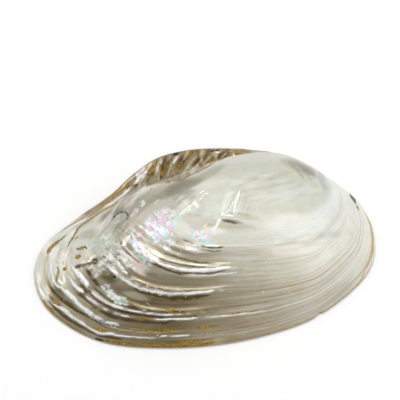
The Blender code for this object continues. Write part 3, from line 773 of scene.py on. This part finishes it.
def wing_relief(zone):
    """Pleats of the whole wing, with the folds and furrows that the photograph shows."""
    across = zone.place[..., 0] - PLEAT_SLANT * zone.place[..., 1]
    across += PLEAT_WANDER * (noise(zone.place, 9, 9, 9) - 0.5)
    pleats = 0.5 + 0.5 * np.cos(2 * math.pi * across / PLEAT_SPACING)
    pleats *= window(zone.turns, *WING_TURNS) * window(1 - zone.number, *PLEAT_GROWTHS)
    return PLEAT_HEIGHT * pleats + FOLD_HEIGHT * zone.folds - FURROW_DEPTH * zone.furrows


def fine_relief(zone):
    """Fine growth lines on the slopes, and a general unevenness."""
    lines = noise(zone.grain, 30, 30, 1.3) + 0.6 * noise(zone.grain, 18, 18, 0.7) - 0.8
    lines *= FINE_LINE_HEIGHT * (1 - smoothstep(zone.number, *FINE_LINE_FADE))
    return lines + UNEVENNESS * (noise(zone.place, 11, 11, 11) - 0.5)


def crumb_depth(zone):
    crumbs = 2 * np.abs(noise(zone.place, 1.7, 1.7, 1.7) - 0.5) + 0.6 * noise(zone.place, 0.9, 0.9, 0.9)
    return CRUMB_DEPTH * crumbs * zone.crumbled


def nick(turns):
    return NICK_DEPTH * bump(turns, NICK_TURN, NICK_HALF_TURN)


def outside(turns):
    names = spaced(OUTER_RINGS, ring_density, False)[::-1] * (1 - SMALLEST_RING)
    growth = 1 - line_numbers(names, turns)
    place = grown(margin_at(turns), growth, GROWTH_TURN)
    zone = Zone(place, names[:, None], turns, SLOPE)
    zone.growth = growth
    zone.crumbled = np.maximum.reduce([zone.oval(*patch) for patch in CRUMBLED])
    zone.ridges = ridge_heights(zone) * (1 - 0.8 * zone.crumbled)
    zone.look()
    zone.furrows = np.maximum.reduce([zone.trace(*line, soft=0.7) for line in WING_FURROWS])
    zone.folds = np.maximum.reduce([zone.trace(*line, soft=0.9) for line in WING_FOLDS])

    inner = smoothstep(zone.number, 0.01, 0.05)
    keel = KEEL_HEIGHT * bump(zone.turns, KEEL_TURN, KEEL_WIDTH) * window(zone.number, *KEEL_NUMBERS)
    relief = zone.ridges + wing_relief(zone) + keel + (fine_relief(zone) - zone.sunk(DENTS)) * inner
    relief -= zone.sunk(PITS) + crumb_depth(zone)
    place += ring_normals(place) * relief[..., None]
    place[..., 2] = np.maximum(place[..., 2], 0) + EDGE_HEIGHT
    place[..., 1] += nick(turns) * (1 - smoothstep(zone.number, 0, 0.02))
    zone.look()
    return zone


# Rim and inside shape.

def plate_share(turns):
    """How far the hinge plate is developed: 0 on the thin lower edge, 1 behind the beak."""
    return np.maximum(0.9 * (1 - smoothstep(turns, 0.0, 0.13)), smoothstep(turns, 0.68, 0.90))


def flat_end(turns):
    return EDGE_ROUND + RIM_FLAT * (1 + plate_share(turns))


def plate_end(turns):
    return flat_end(turns) + LIP_WIDTH + PLATE_WIDTH * plate_share(turns)


def rim(turns):
    """The thin edge, the flat band that the shell rests on, then the lip or hinge plate with its tooth."""
    share = plate_share(turns)
    start = flat_end(turns)
    width = plate_end(turns) - start
    level = np.ones(len(turns))
    lines = []
    for distance, height in EDGE_STEPS:
        line = np.c_[inset(turns, distance), height * level]
        line[:, 1] += nick(turns)
        lines.append(line)
    lines.append(np.c_[inset(turns, start), 0 * level])
    for across, on_lip, on_plate in zip(RIM_STEPS, ON_LIP, ON_PLATE):
        height = LIP_HEIGHT * on_lip * (1 - share) + on_plate * share
        lines.append(np.c_[inset(turns, start + across * width), height])
    place = np.array(lines)
    zone = Zone(place, np.zeros((len(lines), 1)), turns, RIM)
    zone.step = np.arange(len(lines))[:, None] + 0 * turns
    zone.share = share + 0 * zone.step
    return zone


def inside(turns):
    """The hollow, from its edge up to a point under the beak."""
    share = plate_share(turns)
    edge = inset(turns, plate_end(turns))
    number = np.linspace(0, 1 - SMALLEST_RING, CAVITY_RINGS)[:, None] ** 1.1
    place = grown(edge - CAVITY_BEAK, 1 - number + 0 * turns, CAVITY_TURN)
    place[..., :2] += CAVITY_BEAK
    place[..., 2] += LIP_HEIGHT * (1 - share) + PLATE_HEIGHT * share
    zone = Zone(place, number, turns, INSIDE)
    inner = smoothstep(zone.number, 0.0, 0.1)
    for x, y, radius, depth in SCARS:
        rough = SCAR_ROUGHNESS * noise(zone.place, 1.5, 1.5, 1.5)
        place[..., 2] += zone.disc(x, y, radius) * (depth + rough) * inner
    zone.ripples = window(zone.turns, *RIPPLE_TURNS) * window(zone.number, *RIPPLE_NUMBERS)
    place[..., 2] += RIPPLE_HEIGHT * (noise(zone.grain, 26, 26, 4.2) - 0.5) * zone.ripples
    return zone


# Paint.

def strokes(zone, oval, degrees):
    """Fine strokes across an oval of the photograph, from -1 for dark to 1 for light."""
    angle = math.radians(degrees)
    along = zone.pixel @ np.array((math.cos(angle), math.sin(angle)))
    across = zone.pixel @ np.array((-math.sin(angle), math.cos(angle)))
    places = np.stack([along, across, 0 * along], -1)
    grooves = noise(places, STROKE_LENGTH, STROKE_WIDTH, 1)
    grooves += 0.5 * noise(places + (0, 0, 9), 0.5 * STROKE_LENGTH, 0.45 * STROKE_WIDTH, 1)
    return 2 * (grooves - 0.75) * zone.blot(*oval, firm=0.5)


def wing_share(zone):
    """1 on the wing, above the slanting line where its pleats meet the dome."""
    line = np.interp(zone.wavering[..., 0], *zip(*WING_EDGE))
    above = smoothstep(line - zone.wavering[..., 1], -1.0, 1.5) * smoothstep(zone.turns, 0.52, 0.58)
    behind = smoothstep(zone.turns, 0.52, 0.58) * (1 - zone.seen)
    hinge = smoothstep(zone.turns, 0.78, 0.82)
    share = np.maximum.reduce([zone.seen * above, behind, hinge])
    return share * (1 - smoothstep(zone.turns, 0.96, 0.98))


def lobe_share(zone, wing):
    """1 on the lobe, with a softer end in front."""
    end = np.interp(zone.turns, LOBE_TURNS, LOBE_GROWTHS) + 0.03 * (noise(zone.grain, 9, 9, 9) - 0.5)
    softness = 1 + 2.5 * (1 - smoothstep(zone.turns, 0.28, 0.38))
    lobe = smoothstep((end - zone.growth) / softness, -0.006, 0.012)
    return lobe * smoothstep(zone.turns, 0.08, 0.14) * (1 - wing)


def paint_slopes(zone):
    soft = noise(zone.place, 13, 13, 13)
    fine = noise(zone.grain, 40, 40, 2.0)
    zone.cover(FRONT, 1 - smoothstep(zone.turns, 0.24, 0.33))
    for colour, turns, fade, strength, patchy in SLOPE_TONES:
        share = window(zone.turns, *turns) * (1 - smoothstep(zone.number, *fade))
        zone.cover(colour, share * (strength + patchy * (soft - 0.5)))
    # Painted shade, with the troughs' stain, in the hollows between the ridges.
    hollow = smoothstep(-zone.ridges, 0.05, 0.5) * window(zone.turns, *BACK_TURNS)
    zone.cover(TROUGH_STAIN_AND_SHADE, 0.6 * hollow * (0.36 + 0.8 * fine))


def paint_lobe(zone, lobe):
    """The lobe, with a veil of grey and white drawn slantwise over it."""
    x, y = zone.place[..., 0], zone.place[..., 1]
    veil = noise(np.stack([x - y, y, 60 * zone.growth], -1), 34, 26, 5)
    zone.cover(LOBE, 0.9 * lobe)
    zone.cover(LOBE_GREY, 0.45 * lobe * smoothstep(veil, 0.5, 0.85))
    zone.cover(FRONT, 0.35 * lobe * smoothstep(0.5 - veil, 0.0, 0.35))


def paint_areas(zone):
    # Areas of own tone, painted shade and painted light.
    for oval, colour, strength in AREAS:
        zone.cover(colour, strength * zone.blot(*oval, firm=0.45))
    for oval, degrees, strength in STROKES:
        groove = 0.8 * strength * strokes(zone, oval, degrees)
        zone.cover(WHITE, groove)
        zone.cover(STROKE_GREY, -groove)


def paint_wing(zone, wing):
    pleats = noise(zone.place + 11.0, 1.5, 30, 30)
    zone.cover(WING_FOLD, 0.85 * wing)
    zone.cover(WING_LIGHT, 0.8 * zone.folds)
    zone.cover(WING_FURROW, 0.95 * zone.furrows * (1 - 0.5 * zone.folds))
    zone.cover(WING_FURROW, 0.55 * wing * smoothstep(pleats, 0.52, 0.75))
    zone.cover(WING_LIGHT, 0.55 * wing * smoothstep(0.48 - pleats, 0.0, 0.25))
    zone.mark("ochre", 0.8 * zone.furrows * smoothstep(noise(zone.place, 4, 4, 4), 0.3, 0.6))


def paint_wear(zone):
    facets = noise(zone.place, 1.5, 1.5, 1.5)
    zone.cover(WORN, 0.5 * zone.crumbled)
    zone.cover(WHITE, 0.85 * zone.crumbled * smoothstep(facets, 0.56, 0.70))
    zone.cover(OLIVE_GREY, 0.85 * zone.crumbled * smoothstep(0.44 - facets, 0.0, 0.12))
    zone.cover(MOSS, 0.8 * zone.blot(*MOSS_PATCH, firm=0.6, torn=True))
    zone.mark("rough", 0.6 * zone.crumbled)
    zone.mark("rough", 0.35 * zone.oval(*WORN_SLOPE))


def paint_stripes(zone):
    """Broad pale bands of the front, then random stripes over the slopes."""
    for colour, (*line, strength) in FRONT_BANDS:
        zone.cover(colour, strength * zone.band(*line, BAND_FADE))
    random = np.random.default_rng(SEED)
    for _ in range(STRIPES):
        line = [random.uniform(*reach) for reach in STRIPE_RANGES]
        colour = STRIPE_DARK if random.random() < DARK_STRIPES else FRONT
        zone.cover(colour, random.uniform(*STRIPE_STRENGTHS) * zone.band(*line, BAND_FADE))


def paint_traces(zone):
    # Dark lines below the crests: stain with painted shade.
    for line in TROUGH_STAIN_AND_SHADE_TRACES:
        zone.cover(TROUGH_STAIN_AND_SHADE, 0.92 * zone.trace(*line, soft=0.7))
    for line in PALE_TRACES:
        zone.cover(PALE_OCHRE, 0.8 * zone.trace(*line))
    # Flakes of painted iridescent sheen.
    for oval, colour in SHEEN_FLAKES:
        zone.cover(colour, 0.75 * zone.blot(*oval, firm=0.7, torn=True))
    # White lines and glints, partly painted highlights.
    for line in WHITE_TRACES + GLINTS:
        zone.cover(WHITE, 0.85 * zone.trace(*line, soft=0.9))
    # A paler painted highlight beside each crest.
    for width, *points in CREST_HIGHLIGHT_TRACES:
        zone.cover(CREST_HALO_HIGHLIGHT, 0.5 * zone.trace(2.0 * width, *points, soft=1.1))
    for line in YELLOW_TRACES:
        zone.cover(YELLOW, 0.85 * zone.trace(*line))
    ring = zone.blot(*PIT_RING, firm=0.7)
    zone.cover(OLIVE_GREY, 0.7 * ring)
    zone.mark("dark", 0.75 * ring * (1 - zone.blot(*PIT)))


def mark_traces(zone):
    # Painted highlights along the crests and on the umbo, and fainter ones on the tops of the ridges.
    for line in CREST_HIGHLIGHT_TRACES + UMBO_HIGHLIGHT_TRACES:
        zone.mark("crest_highlight", zone.trace(*line, soft=0.55))
    zone.mark("crest_highlight", 0.3 * smoothstep(zone.ridges, 0.35, 0.9))
    for width, *points in OCHRE_TRACES:
        zone.mark("ochre", zone.trace(width * zone.slim, *points))
    for line in DARK_TRACES:
        zone.mark("dark", zone.trace(*line))
    zone.mark("dark", zone.trace(ARC_WIDTH, *ARC) * (0.3 + 0.9 * noise(zone.place, 0.7, 0.7, 0.7)))
    # Painted iridescent sheen.
    for oval, strength in SHIMMER:
        zone.mark("shimmer", strength * zone.blot(*oval))


def paint_lines(zone):
    for *line, strength in OCHRE_LINES:
        zone.mark("ochre", strength * zone.band(*line))
    for *line, strength in PALE_LINES:
        zone.cover(WHITE, strength * zone.band(*line))
    for *line, strength in DARK_LINES:
        zone.mark("dark", strength * zone.band(*line, DARK_LINE_FADE))


def paint_outside(zone):
    wing = wing_share(zone)
    lobe = lobe_share(zone, wing)
    paint_slopes(zone)
    paint_lobe(zone, lobe)
    paint_areas(zone)
    paint_wing(zone, wing)
    paint_wear(zone)
    paint_stripes(zone)
    paint_traces(zone)
    mark_traces(zone)
    paint_lines(zone)
    front = 1 - smoothstep(zone.turns, 0.30, 0.40)
    slope = window(zone.turns, 0.60, 0.64, 0.80, 0.90)
    calm = 0.65 * smoothstep(zone.number, 0.20, 0.36)
    streak = (1 - 0.60 * lobe) * (1 - 0.7 * np.maximum(wing, slope)) * (1 - 0.4 * front)
    zone.mark("streak", streak * (1 - calm))
    zone.mark("satin", np.maximum(lobe, 0.6 * front))


def paint_rim(zone):
    step = zone.step
    zone.mark("ochre", np.where(step <= FLAT_START, 0.75, 0.3))
    zone.cover(INSIDE, smoothstep(step, FLAT_END, FLAT_END + 3))
    crust = window(zone.turns, 0.84, 0.87, 0.97, 0.995) * (step <= FLAT_END + 1)
    zone.mark("dark", 0.9 * crust)
    zone.cover(WHITE, 0.9 * zone.share * (step == GROOVE_STEP))
    zone.mark("rough", 0.3 * ((step >= FLAT_START) & (step <= FLAT_END)))
    zone.mark("streak", 0.3 + 0 * zone.turns)


def paint_inside(zone):
    place, turns, number = zone.place, zone.turns, zone.number
    ragged = 9 * (noise(place, 5, 14, 5) - 0.5) + 4 * (noise(place, 1.6, 7, 2) - 0.5)
    hinge = smoothstep(place[..., 1] + ragged, -26, -15) * window(place[..., 0], -75, -60, 8, 20)
    zone.cover(AMBER, 0.75 * hinge)
    zone.mark("ochre", 0.62 * hinge * noise(place, 3, 9, 3))
    zone.cover(AMBER, 0.5 * smoothstep(number, 0.62, 0.8))
    violet = window(turns, 0.56, 0.62, 0.72, 0.80) * window(number, 0.05, 0.15, 0.5, 0.7)
    zone.cover(VIOLET_GREY, 0.6 * violet)
    for x, y, radius, _ in SCARS:
        scar = zone.disc(x, y, radius)
        zone.mark("rough", 0.6 * scar)
        zone.mark("ochre", 0.75 * scar * noise(place, 6, 1.5, 3))
    zone.cover(PALLIAL, 0.8 * zone.band(*PALLIAL_LINE))
    # Painted iridescent sheen on the ripples of the hollow.
    zone.mark("shimmer", 0.62 * zone.ripples * noise(zone.grain, 20, 20, 7))
    zone.mark("ochre", 0.75 * bump(number, 0.0, 0.008) * window(turns, 0.1, 0.15, 0.6, 0.7))
    zone.mark("streak", 0.25 + 0.6 * zone.ripples)
    zone.mark("satin", 0.3 + 0 * turns)


# Mesh.

def make_mesh(zones):
    """One closed skin through the rings of all zones, with their paint as attributes."""
    rings = np.concatenate([zone.place for zone in zones])
    count = len(rings)
    points = np.concatenate([rings.reshape(-1, 3), rings[0].mean(axis=0)[None], rings[-1].mean(axis=0)[None]])
    points = (points + BEAK) * MM

    ring, spoke = np.meshgrid(np.arange(count - 1), np.arange(SPOKES), indexing="ij")
    here = ring * SPOKES + spoke
    after = ring * SPOKES + (spoke + 1) % SPOKES
    faces = np.stack((here, here + SPOKES, after + SPOKES, after), -1).reshape(-1, 4).tolist()
    top, bottom = count * SPOKES, count * SPOKES + 1
    last = (count - 1) * SPOKES
    for k in range(SPOKES):
        faces.append((top, k, (k + 1) % SPOKES))
        faces.append((bottom, last + (k + 1) % SPOKES, last + k))
    mesh = bpy.data.meshes.new("mussel_shell")
    mesh.from_pydata(points.tolist(), [], faces)

    def stacked(pick):
        values = np.concatenate([pick(zone) for zone in zones])
        flat = values.reshape(count * SPOKES, -1)
        return np.concatenate([flat, flat[:1], flat[-1:]])

    tone = mesh.attributes.new("tone", "FLOAT_COLOR", "POINT")
    tone.data.foreach_set("color", np.c_[stacked(lambda z: z.tone), np.ones(count * SPOKES + 2)].ravel())
    grain = mesh.attributes.new("grain", "FLOAT_VECTOR", "POINT")
    grain.data.foreach_set("vector", stacked(lambda z: z.grain).ravel())
    for name in MARKS:
        layer = mesh.attributes.new(name, "FLOAT", "POINT")
        layer.data.foreach_set("value", stacked(lambda z: z.marks[name]).ravel())
    mesh.shade_smooth()
    mesh.update()
    return mesh


# Nacre.

def add(tree, kind, inputs=None, **settings):
    node = tree.nodes.new(kind)
    for name, value in settings.items():
        setattr(node, name, value)
    for name, value in (inputs or {}).items():
        if isinstance(value, bpy.types.NodeSocket):
            tree.links.new(value, node.inputs[name])
        else:
            node.inputs[name].default_value = value
    return node


def sums(tree, operation, first, second=0.0, third=0.0):
    return add(tree, "ShaderNodeMath", {0: first, 1: second, 2: third}, operation=operation).outputs[0]


def plus(tree, first, second):
    return sums(tree, "ADD", first, second)


def times(tree, first, second):
    return sums(tree, "MULTIPLY", first, second)


def mixed(tree, share, first, second, blend="MIX"):
    inputs = {0: share, 6: first, 7: second}
    return add(tree, "ShaderNodeMix", inputs, data_type="RGBA", blend_type=blend).outputs[2]


def stepped(tree, value, low, high):
    inputs = {"Value": value, "From Min": low, "From Max": high}
    return add(tree, "ShaderNodeMapRange", inputs, interpolation_type="SMOOTHSTEP").outputs[0]


def ramp(tree, value, stops, interpolation="LINEAR"):
    node = add(tree, "ShaderNodeValToRGB", {"Fac": value})
    node.color_ramp.interpolation = interpolation
    elements = node.color_ramp.elements
    while len(elements) < len(stops):
        elements.new(1.0)
    for element, (position, colour) in zip(elements, stops):
        element.position = position
        element.color = (*linear(*colour), 1.0)
    return node.outputs["Color"]


def attribute(tree, name, output="Fac"):
    return add(tree, "ShaderNodeAttribute", attribute_name=name).outputs[output]


def cloud(tree, vector, scale, detail, roughness, distortion=0.0):
    """Random values along a vector, in blobs of one over the scale along each axis."""
    stretched = add(tree, "ShaderNodeVectorMath", {0: vector, 1: scale}, operation="MULTIPLY").outputs[0]
    inputs = {"Vector": stretched, "Scale": 1.0, "Detail": detail, "Roughness": roughness}
    inputs["Distortion"] = distortion
    return add(tree, "ShaderNodeTexNoise", inputs).outputs["Fac"]


def ragged_mark(tree, name, edge, gain, low, high):
    """A painted mark, torn by a cloud and then cut to 0 or 1 with a short blend."""
    torn = plus(tree, attribute(tree, name), times(tree, plus(tree, edge, -0.5), gain))
    return stepped(tree, torn, low, high)


def pearl_colours(tree, place):
    """Pastel flakes of painted iridescent sheen, with bent edges."""
    wobble = add(tree, "ShaderNodeTexNoise", {"Vector": place, **WOBBLE}).outputs["Color"]
    bent = add(tree, "ShaderNodeVectorMath", {0: wobble, "Scale": WOBBLE_REACH}, operation="SCALE").outputs[0]
    bent = add(tree, "ShaderNodeVectorMath", {0: place, 1: bent}, operation="ADD").outputs[0]
    cells = {"Vector": bent, "Scale": FLAKE_SCALE, "Randomness": 1.0}
    flakes = add(tree, "ShaderNodeTexVoronoi", cells).outputs["Color"]
    hue = add(tree, "ShaderNodeSeparateColor", {"Color": flakes}).outputs[0]
    return ramp(tree, hue, PEARL_RAMP, "CONSTANT")


def nacre_material():
    material = bpy.data.materials.new("nacre_polished")
    material.use_nodes = True
    tree = material.node_tree
    shader = tree.nodes["Principled BSDF"]
    grain = attribute(tree, "grain", "Vector")
    position = add(tree, "ShaderNodeTexCoord").outputs["Object"]
    place = add(tree, "ShaderNodeVectorMath", {0: position, "Scale": 1 / MM}, operation="SCALE").outputs[0]
    streak = attribute(tree, "streak")
    rough = attribute(tree, "rough")
    streaks = cloud(tree, grain, *STREAKS)
    fine_streaks = cloud(tree, grain, *FINE_STREAKS)
    speckle = cloud(tree, place, *SPECKLE)
    crumbs = cloud(tree, place, *CRUMBS)
    pastel = pearl_colours(tree, place)
    shimmer = ragged_mark(tree, "shimmer", cloud(tree, grain, *BROKEN), *SHIMMER_EDGE)
    crest_highlight = ragged_mark(tree, "crest_highlight", cloud(tree, grain, *CHIPPED), *HIGHLIGHT_EDGE)
    ochre = ragged_mark(tree, "ochre", cloud(tree, grain, *RAGGED), *OCHRE_EDGE)
    dark = ragged_mark(tree, "dark", speckle, *DARK_EDGE)

    # The painted tone, streaked and tinted.
    tone = attribute(tree, "tone", "Color")
    both = plus(tree, times(tree, streaks, 0.6), times(tree, fine_streaks, 0.4))
    streaked = mixed(tree, 1.0, tone, ramp(tree, both, STREAK_RAMP), "MULTIPLY")
    tone = mixed(tree, times(tree, streak, 0.85), tone, streaked)
    tint = ramp(tree, cloud(tree, place, *BLOTCHES), TINT_RAMP)
    tone = mixed(tree, 1.0, tone, tint, "MULTIPLY")

    # Painted iridescent sheen, painted highlights on the crests, stains and crumbs over it.
    highlight_tone = mixed(tree, 0.34, (*linear(*CREST_HIGHLIGHT), 1.0), pastel)
    ochre_tone = ramp(tree, speckle, OCHRE_RAMP)
    crumb_tone = ramp(tree, crumbs, CRUMB_RAMP)
    layers = ((shimmer, 0.80, pastel), (crest_highlight, 0.96, highlight_tone), (ochre, 0.9, ochre_tone),
              (dark, 0.92, (*linear(*DARK_STAIN), 1.0)), (rough, 0.55, crumb_tone))
    for share, strength, colour in layers:
        tone = mixed(tree, times(tree, share, strength), tone, colour)
    tree.links.new(tone, shader.inputs["Base Color"])

    worn_shine = sums(tree, "MAXIMUM", times(tree, rough, 0.30), times(tree, ochre, 0.18))
    satin = times(tree, attribute(tree, "satin"), 0.34)
    shine = plus(tree, times(tree, streaks, 0.14), plus(tree, satin, BASE_ROUGHNESS))
    tree.links.new(plus(tree, shine, worn_shine), shader.inputs["Roughness"])
    for name, value in POLISH.items():
        shader.inputs[name].default_value = value

    lines = times(tree, plus(tree, streaks, fine_streaks), times(tree, streak, 0.35))
    height = plus(tree, lines, times(tree, crumbs, times(tree, rough, 1.6)))
    height = plus(tree, height, times(tree, ochre, -0.25))
    settings = {"Strength": BUMP_STRENGTH, "Distance": BUMP_HEIGHT, "Height": height}
    bumps = add(tree, "ShaderNodeBump", settings)
    tree.links.new(bumps.outputs[0], shader.inputs["Normal"])
    return material


def build_shell():
    turns = spaced(SPOKES, spoke_density, True)
    zones = (outside(turns), rim(turns), inside(turns))
    paint_outside(zones[0])
    paint_rim(zones[1])
    paint_inside(zones[2])
    shell = bpy.data.objects.new("mussel_shell", make_mesh(zones))
    shell.data.materials.append(nacre_material())
    bpy.context.scene.collection.objects.link(shell)
    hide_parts("shell")
    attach(shell, "root")


# Studio.

def build_floor():
    mesh = bpy.data.meshes.new("floor")
    corners = [(x * FLOOR_REACH, y * FLOOR_REACH, 0) for x, y in ((-1, -1), (1, -1), (1, 1), (-1, 1))]
    mesh.from_pydata(corners, [], [(0, 1, 2, 3)])
    floor = bpy.data.objects.new("floor", mesh)
    material = bpy.data.materials.new("floor_white")
    material.use_nodes = True
    shader = material.node_tree.nodes["Principled BSDF"]
    for name, value in FLOOR_FINISH.items():
        shader.inputs[name].default_value = value
    floor.data.materials.append(material)
    bpy.context.scene.collection.objects.link(floor)


def area_light(name, place, size, power, mirrored):
    light = bpy.data.lights.new(name, "AREA")
    light.shape = "RECTANGLE"
    light.size, light.size_y = size
    light.energy = power
    lamp = bpy.data.objects.new(name, light)
    lamp.location = place
    lamp.visible_glossy = mirrored
    lamp.rotation_euler = (-Vector(place)).to_track_quat("-Z", "Y").to_euler()
    bpy.context.scene.collection.objects.link(lamp)


def build_lights():
    for light in LIGHTS:
        area_light(*light)
    world = bpy.data.worlds.new("studio")
    world.use_nodes = True
    background = world.node_tree.nodes["Background"]
    background.inputs["Color"].default_value = (1, 1, 1, 1)
    background.inputs["Strength"].default_value = WORLD_LIGHT
    bpy.context.scene.world = world
    bpy.context.scene.view_settings.view_transform = "Standard"


def build_camera():
    data = bpy.data.cameras.new("camera")
    data.lens = CAMERA_LENS
    data.sensor_width = SENSOR
    data.clip_start = CLIP_START
    camera = bpy.data.objects.new("camera", data)
    right, up, back = camera_axes()
    turned = Matrix((right, up, back)).transposed().to_4x4()
    camera.matrix_world = Matrix.Translation(Vector(CAMERA_TARGET) + Vector(back) * CAMERA_DISTANCE) @ turned
    bpy.context.scene.collection.objects.link(camera)
    bpy.context.scene.camera = camera


build_shell()
build_floor()
build_lights()
build_camera()
